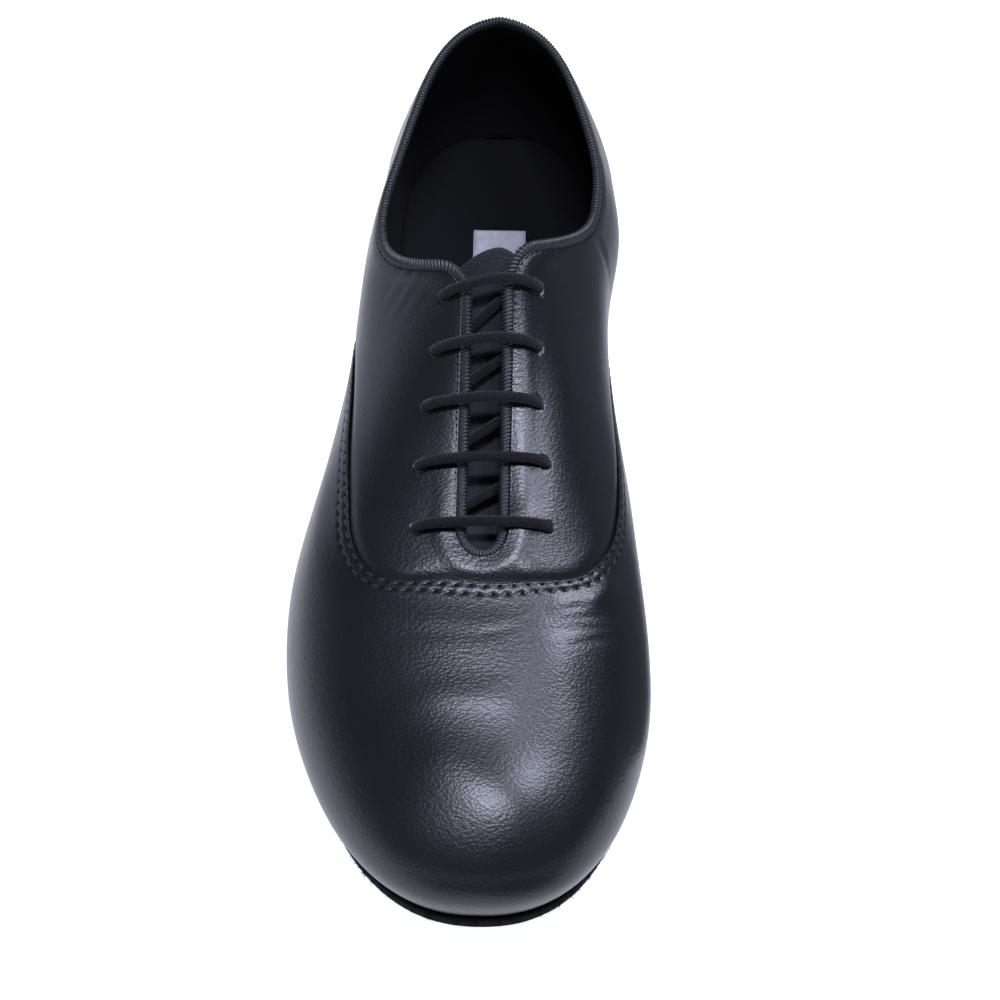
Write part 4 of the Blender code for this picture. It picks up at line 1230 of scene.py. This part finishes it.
def make_heel(material, tread):
    """Low heel block: sides drawn in a little, a hollow breast and a suede top piece with a rounded edge."""
    start = FEATHER_BACK - SOLE_EDGE
    quarter_turn = np.arange(1, HEEL_STEPS + 1) / HEEL_STEPS * math.pi / 2
    stations = start + (BREAST - start) * np.sin(quarter_turn) ** 2
    across = np.arange(1, BREAST_STEPS) / BREAST_STEPS
    hollow = BREAST - BREAST_HOLLOW * np.sin(across * math.pi)
    along = np.concatenate([stations, hollow, stations[::-1]])
    inward = 1 - 2 * (along - start) / (BREAST - start)
    rings = []
    for share, extra in HEEL_RINGS:
        taper = HEEL_TAPER * share + extra
        shifted = along + taper * inward
        left, right = (feather_x(shifted[:HEEL_STEPS], side, SOLE_EDGE - taper) for side in (LATERAL, MEDIAL))
        x = np.concatenate([left, left[-1] + (right[-1] - left[-1]) * across, right[::-1]])
        rings.append(world(x, shifted, sole_bottom(along) * (1 - share)))
    slots = np.repeat([0 if share < TOP_PIECE else 1 for share, _ in HEEL_RINGS[:-1]], len(along))
    place(ring_solid("heel_block", rings, [material, tread], np.append(slots, [0, 1])), "heel", "heel")


def insole_rim(columns):
    """Line round the inside of the upper at the height of the insole's top."""
    places = np.repeat((INSOLE_THICKNESS + np.array([-0.5, 0.0, 0.5]) * MM)[None], columns.count, 0)
    grid = columns.points(places)
    return grid[:, 1] - surface_normals(grid, True)[:, 1] * (WALL + LINING_GAP)


def insole_row(rim, i, share):
    """Points of the insole's top, a little cupped, at shares of the way between paired points of its rim."""
    points = rim[i] + (rim[-i] - rim[i]) * share[:, None]
    points[:, 2] += INSOLE_CUP * (np.abs(2 * share - 1) ** INSOLE_CUP_POWER - 1)
    return points


def layer_solid(name, tops, over, under, material):
    """A closed layer from a distance over rows of points to a distance under them."""
    rings = [np.concatenate([top + [0, 0, over], top[::-1] - [0, 0, under]]) for top in tops]
    return ring_solid(name, rings, [material])


def make_insole(rim, material, patch):
    """Sock of the insole, with a bare pale patch stuck on it at the heel."""
    share = np.linspace(0, 1, INSOLE_ACROSS)
    sock = layer_solid("insole_sock", [insole_row(rim, i, share) for i in INSOLE_ROWS], 0.0,
                       INSOLE_THICKNESS - INSOLE_THINNER, material)
    place(sock, "insole", "insole")
    back, front, left, right = PATCH
    tops = []
    for i in INSOLE_ROWS:
        if back <= LENGTH / 2 - rim[i][1] <= front:
            ends = (np.array([left, right]) + MIDDLE_PLANE_X - rim[i][0]) / (rim[-i][0] - rim[i][0])
            tops.append(insole_row(rim, i, np.linspace(*ends, PATCH_ACROSS)))
    place(layer_solid("insole_patch", tops, PATCH_TOP, PATCH_UNDER, patch), "insole")


# Stage

def make_card(name, edges, height, material):
    low_x, high_x, low_y, high_y = edges
    corners = (low_x, low_y), (high_x, low_y), (high_x, high_y), (low_x, high_y)
    return mesh_object(name, [(*spot, height) for spot in corners], [(0, 1, 2, 3)], [material], solid=False)


def make_floor():
    material = new_material("floor_paper", (0.30, 0.30, 0.30), 0.9, Emission_Color=(*FLOOR_TINT, 1.0),
                            Emission_Strength=FLOOR_GLOW)[0]
    floor = make_card("floor", (-FLOOR_HALF, FLOOR_HALF, -FLOOR_HALF, FLOOR_HALF), 0.0, material)


def make_flags():
    """Grey cards beside the shoe: reflections see them, the camera does not."""
    for name, edges, height, glow, stops in FLAGS:
        material = new_material(name, (0.0, 0.0, 0.0), 1.0, Specular_IOR_Level=0.0,
                                Emission_Color=(*STUDIO_TINT, 1.0), Emission_Strength=glow)[0]
        card = make_card(name, edges, height, material)
        card.visible_camera = card.visible_diffuse = False
        card.visible_shadow = stops


def make_world():
    """Dim bluish studio, brighter along the horizon on the left and in front."""
    studio = bpy.data.worlds.new("studio")
    bpy.context.scene.world = studio
    studio.use_nodes = True
    tree = studio.node_tree
    coords = add(tree, "ShaderNodeTexCoord", {}).outputs["Generated"]
    x, y, z = add(tree, "ShaderNodeSeparateXYZ", {0: coords}).outputs
    near_horizon = map_range(tree, math_node(tree, "ABSOLUTE", z), *HORIZON)
    near_horizon = math_node(tree, "POWER", near_horizon, HORIZON_POWER)
    glow = math_node(tree, "MULTIPLY_ADD", near_horizon, HORIZON_GLOW, STUDIO_GLOW)
    glow = math_node(tree, "MULTIPLY", glow, map_range(tree, x, *LEFT_TO_RIGHT))
    glow = math_node(tree, "MULTIPLY", glow, map_range(tree, y, *FRONT_TO_BACK))
    background = tree.nodes["Background"]
    background.inputs["Color"].default_value = (*STUDIO_TINT, 1.0)
    tree.links.new(glow, background.inputs["Strength"])


def make_lights():
    """Soft rectangular lamps, turned to the shoe."""
    for name, power, size, location in LAMPS:
        light = bpy.data.lights.new(name, "AREA")
        light.shape = "RECTANGLE"
        light.size, light.size_y = size
        light.energy = power
        light.color = STUDIO_TINT
        lamp = bpy.data.objects.new(name, light)
        lamp.location = location
        lamp.rotation_euler = (Vector(LAMP_TARGET) - Vector(location)).to_track_quat("-Z", "Y").to_euler()
        bpy.context.scene.collection.objects.link(lamp)


def make_camera():
    data = bpy.data.cameras.new("camera")
    data.lens, data.sensor_width = CAMERA_LENS, SENSOR_WIDTH
    camera = bpy.data.objects.new("camera", data)
    bpy.context.scene.collection.objects.link(camera)
    pose = Matrix.Translation(Vector(CAMERA_TARGET) + Vector((MIDDLE_PLANE_X, 0, 0)))
    for degrees, axis in ((CAMERA_AZIMUTH, "Z"), (90 - CAMERA_ELEVATION, "X"), (CAMERA_ROLL, "Z")):
        pose = pose @ Matrix.Rotation(math.radians(degrees), 4, axis)
    camera.matrix_world = pose @ Matrix.Translation((0, 0, CAMERA_DISTANCE))
    bpy.context.scene.camera = camera
    bpy.context.scene.view_settings.view_transform = "Standard"


def main():
    make_camera()
    make_world()
    make_lights()
    make_floor()
    make_flags()
    columns = Columns()
    hide = leather("upper_leather")
    lining = textile("black_lining", (0.0024, 0.0024, 0.0032), 1500.0)
    thread, shade = black_thread(), needle_shade()
    make_vamp(columns, hide, lining)
    make_quarters(columns, hide, lining)
    make_vamp_stitches(columns, thread, shade)
    make_binding(columns, ribbed_tape(), shade)
    make_eyelet_rims(hide)
    make_lace(woven_cord())
    make_tongue(suede("tongue_nap", (0.020, 0.020, 0.024)), thread)
    make_insole(insole_rim(columns), lining, textile("pale_patch", (0.37, 0.38, 0.41), 3000.0))
    sole_suede = suede("black_suede", (0.0026, 0.0026, 0.0032))
    make_outsole(sole_suede)
    make_nap(sole_suede)
    make_heel(leather("heel_leather"), sole_suede)


main()
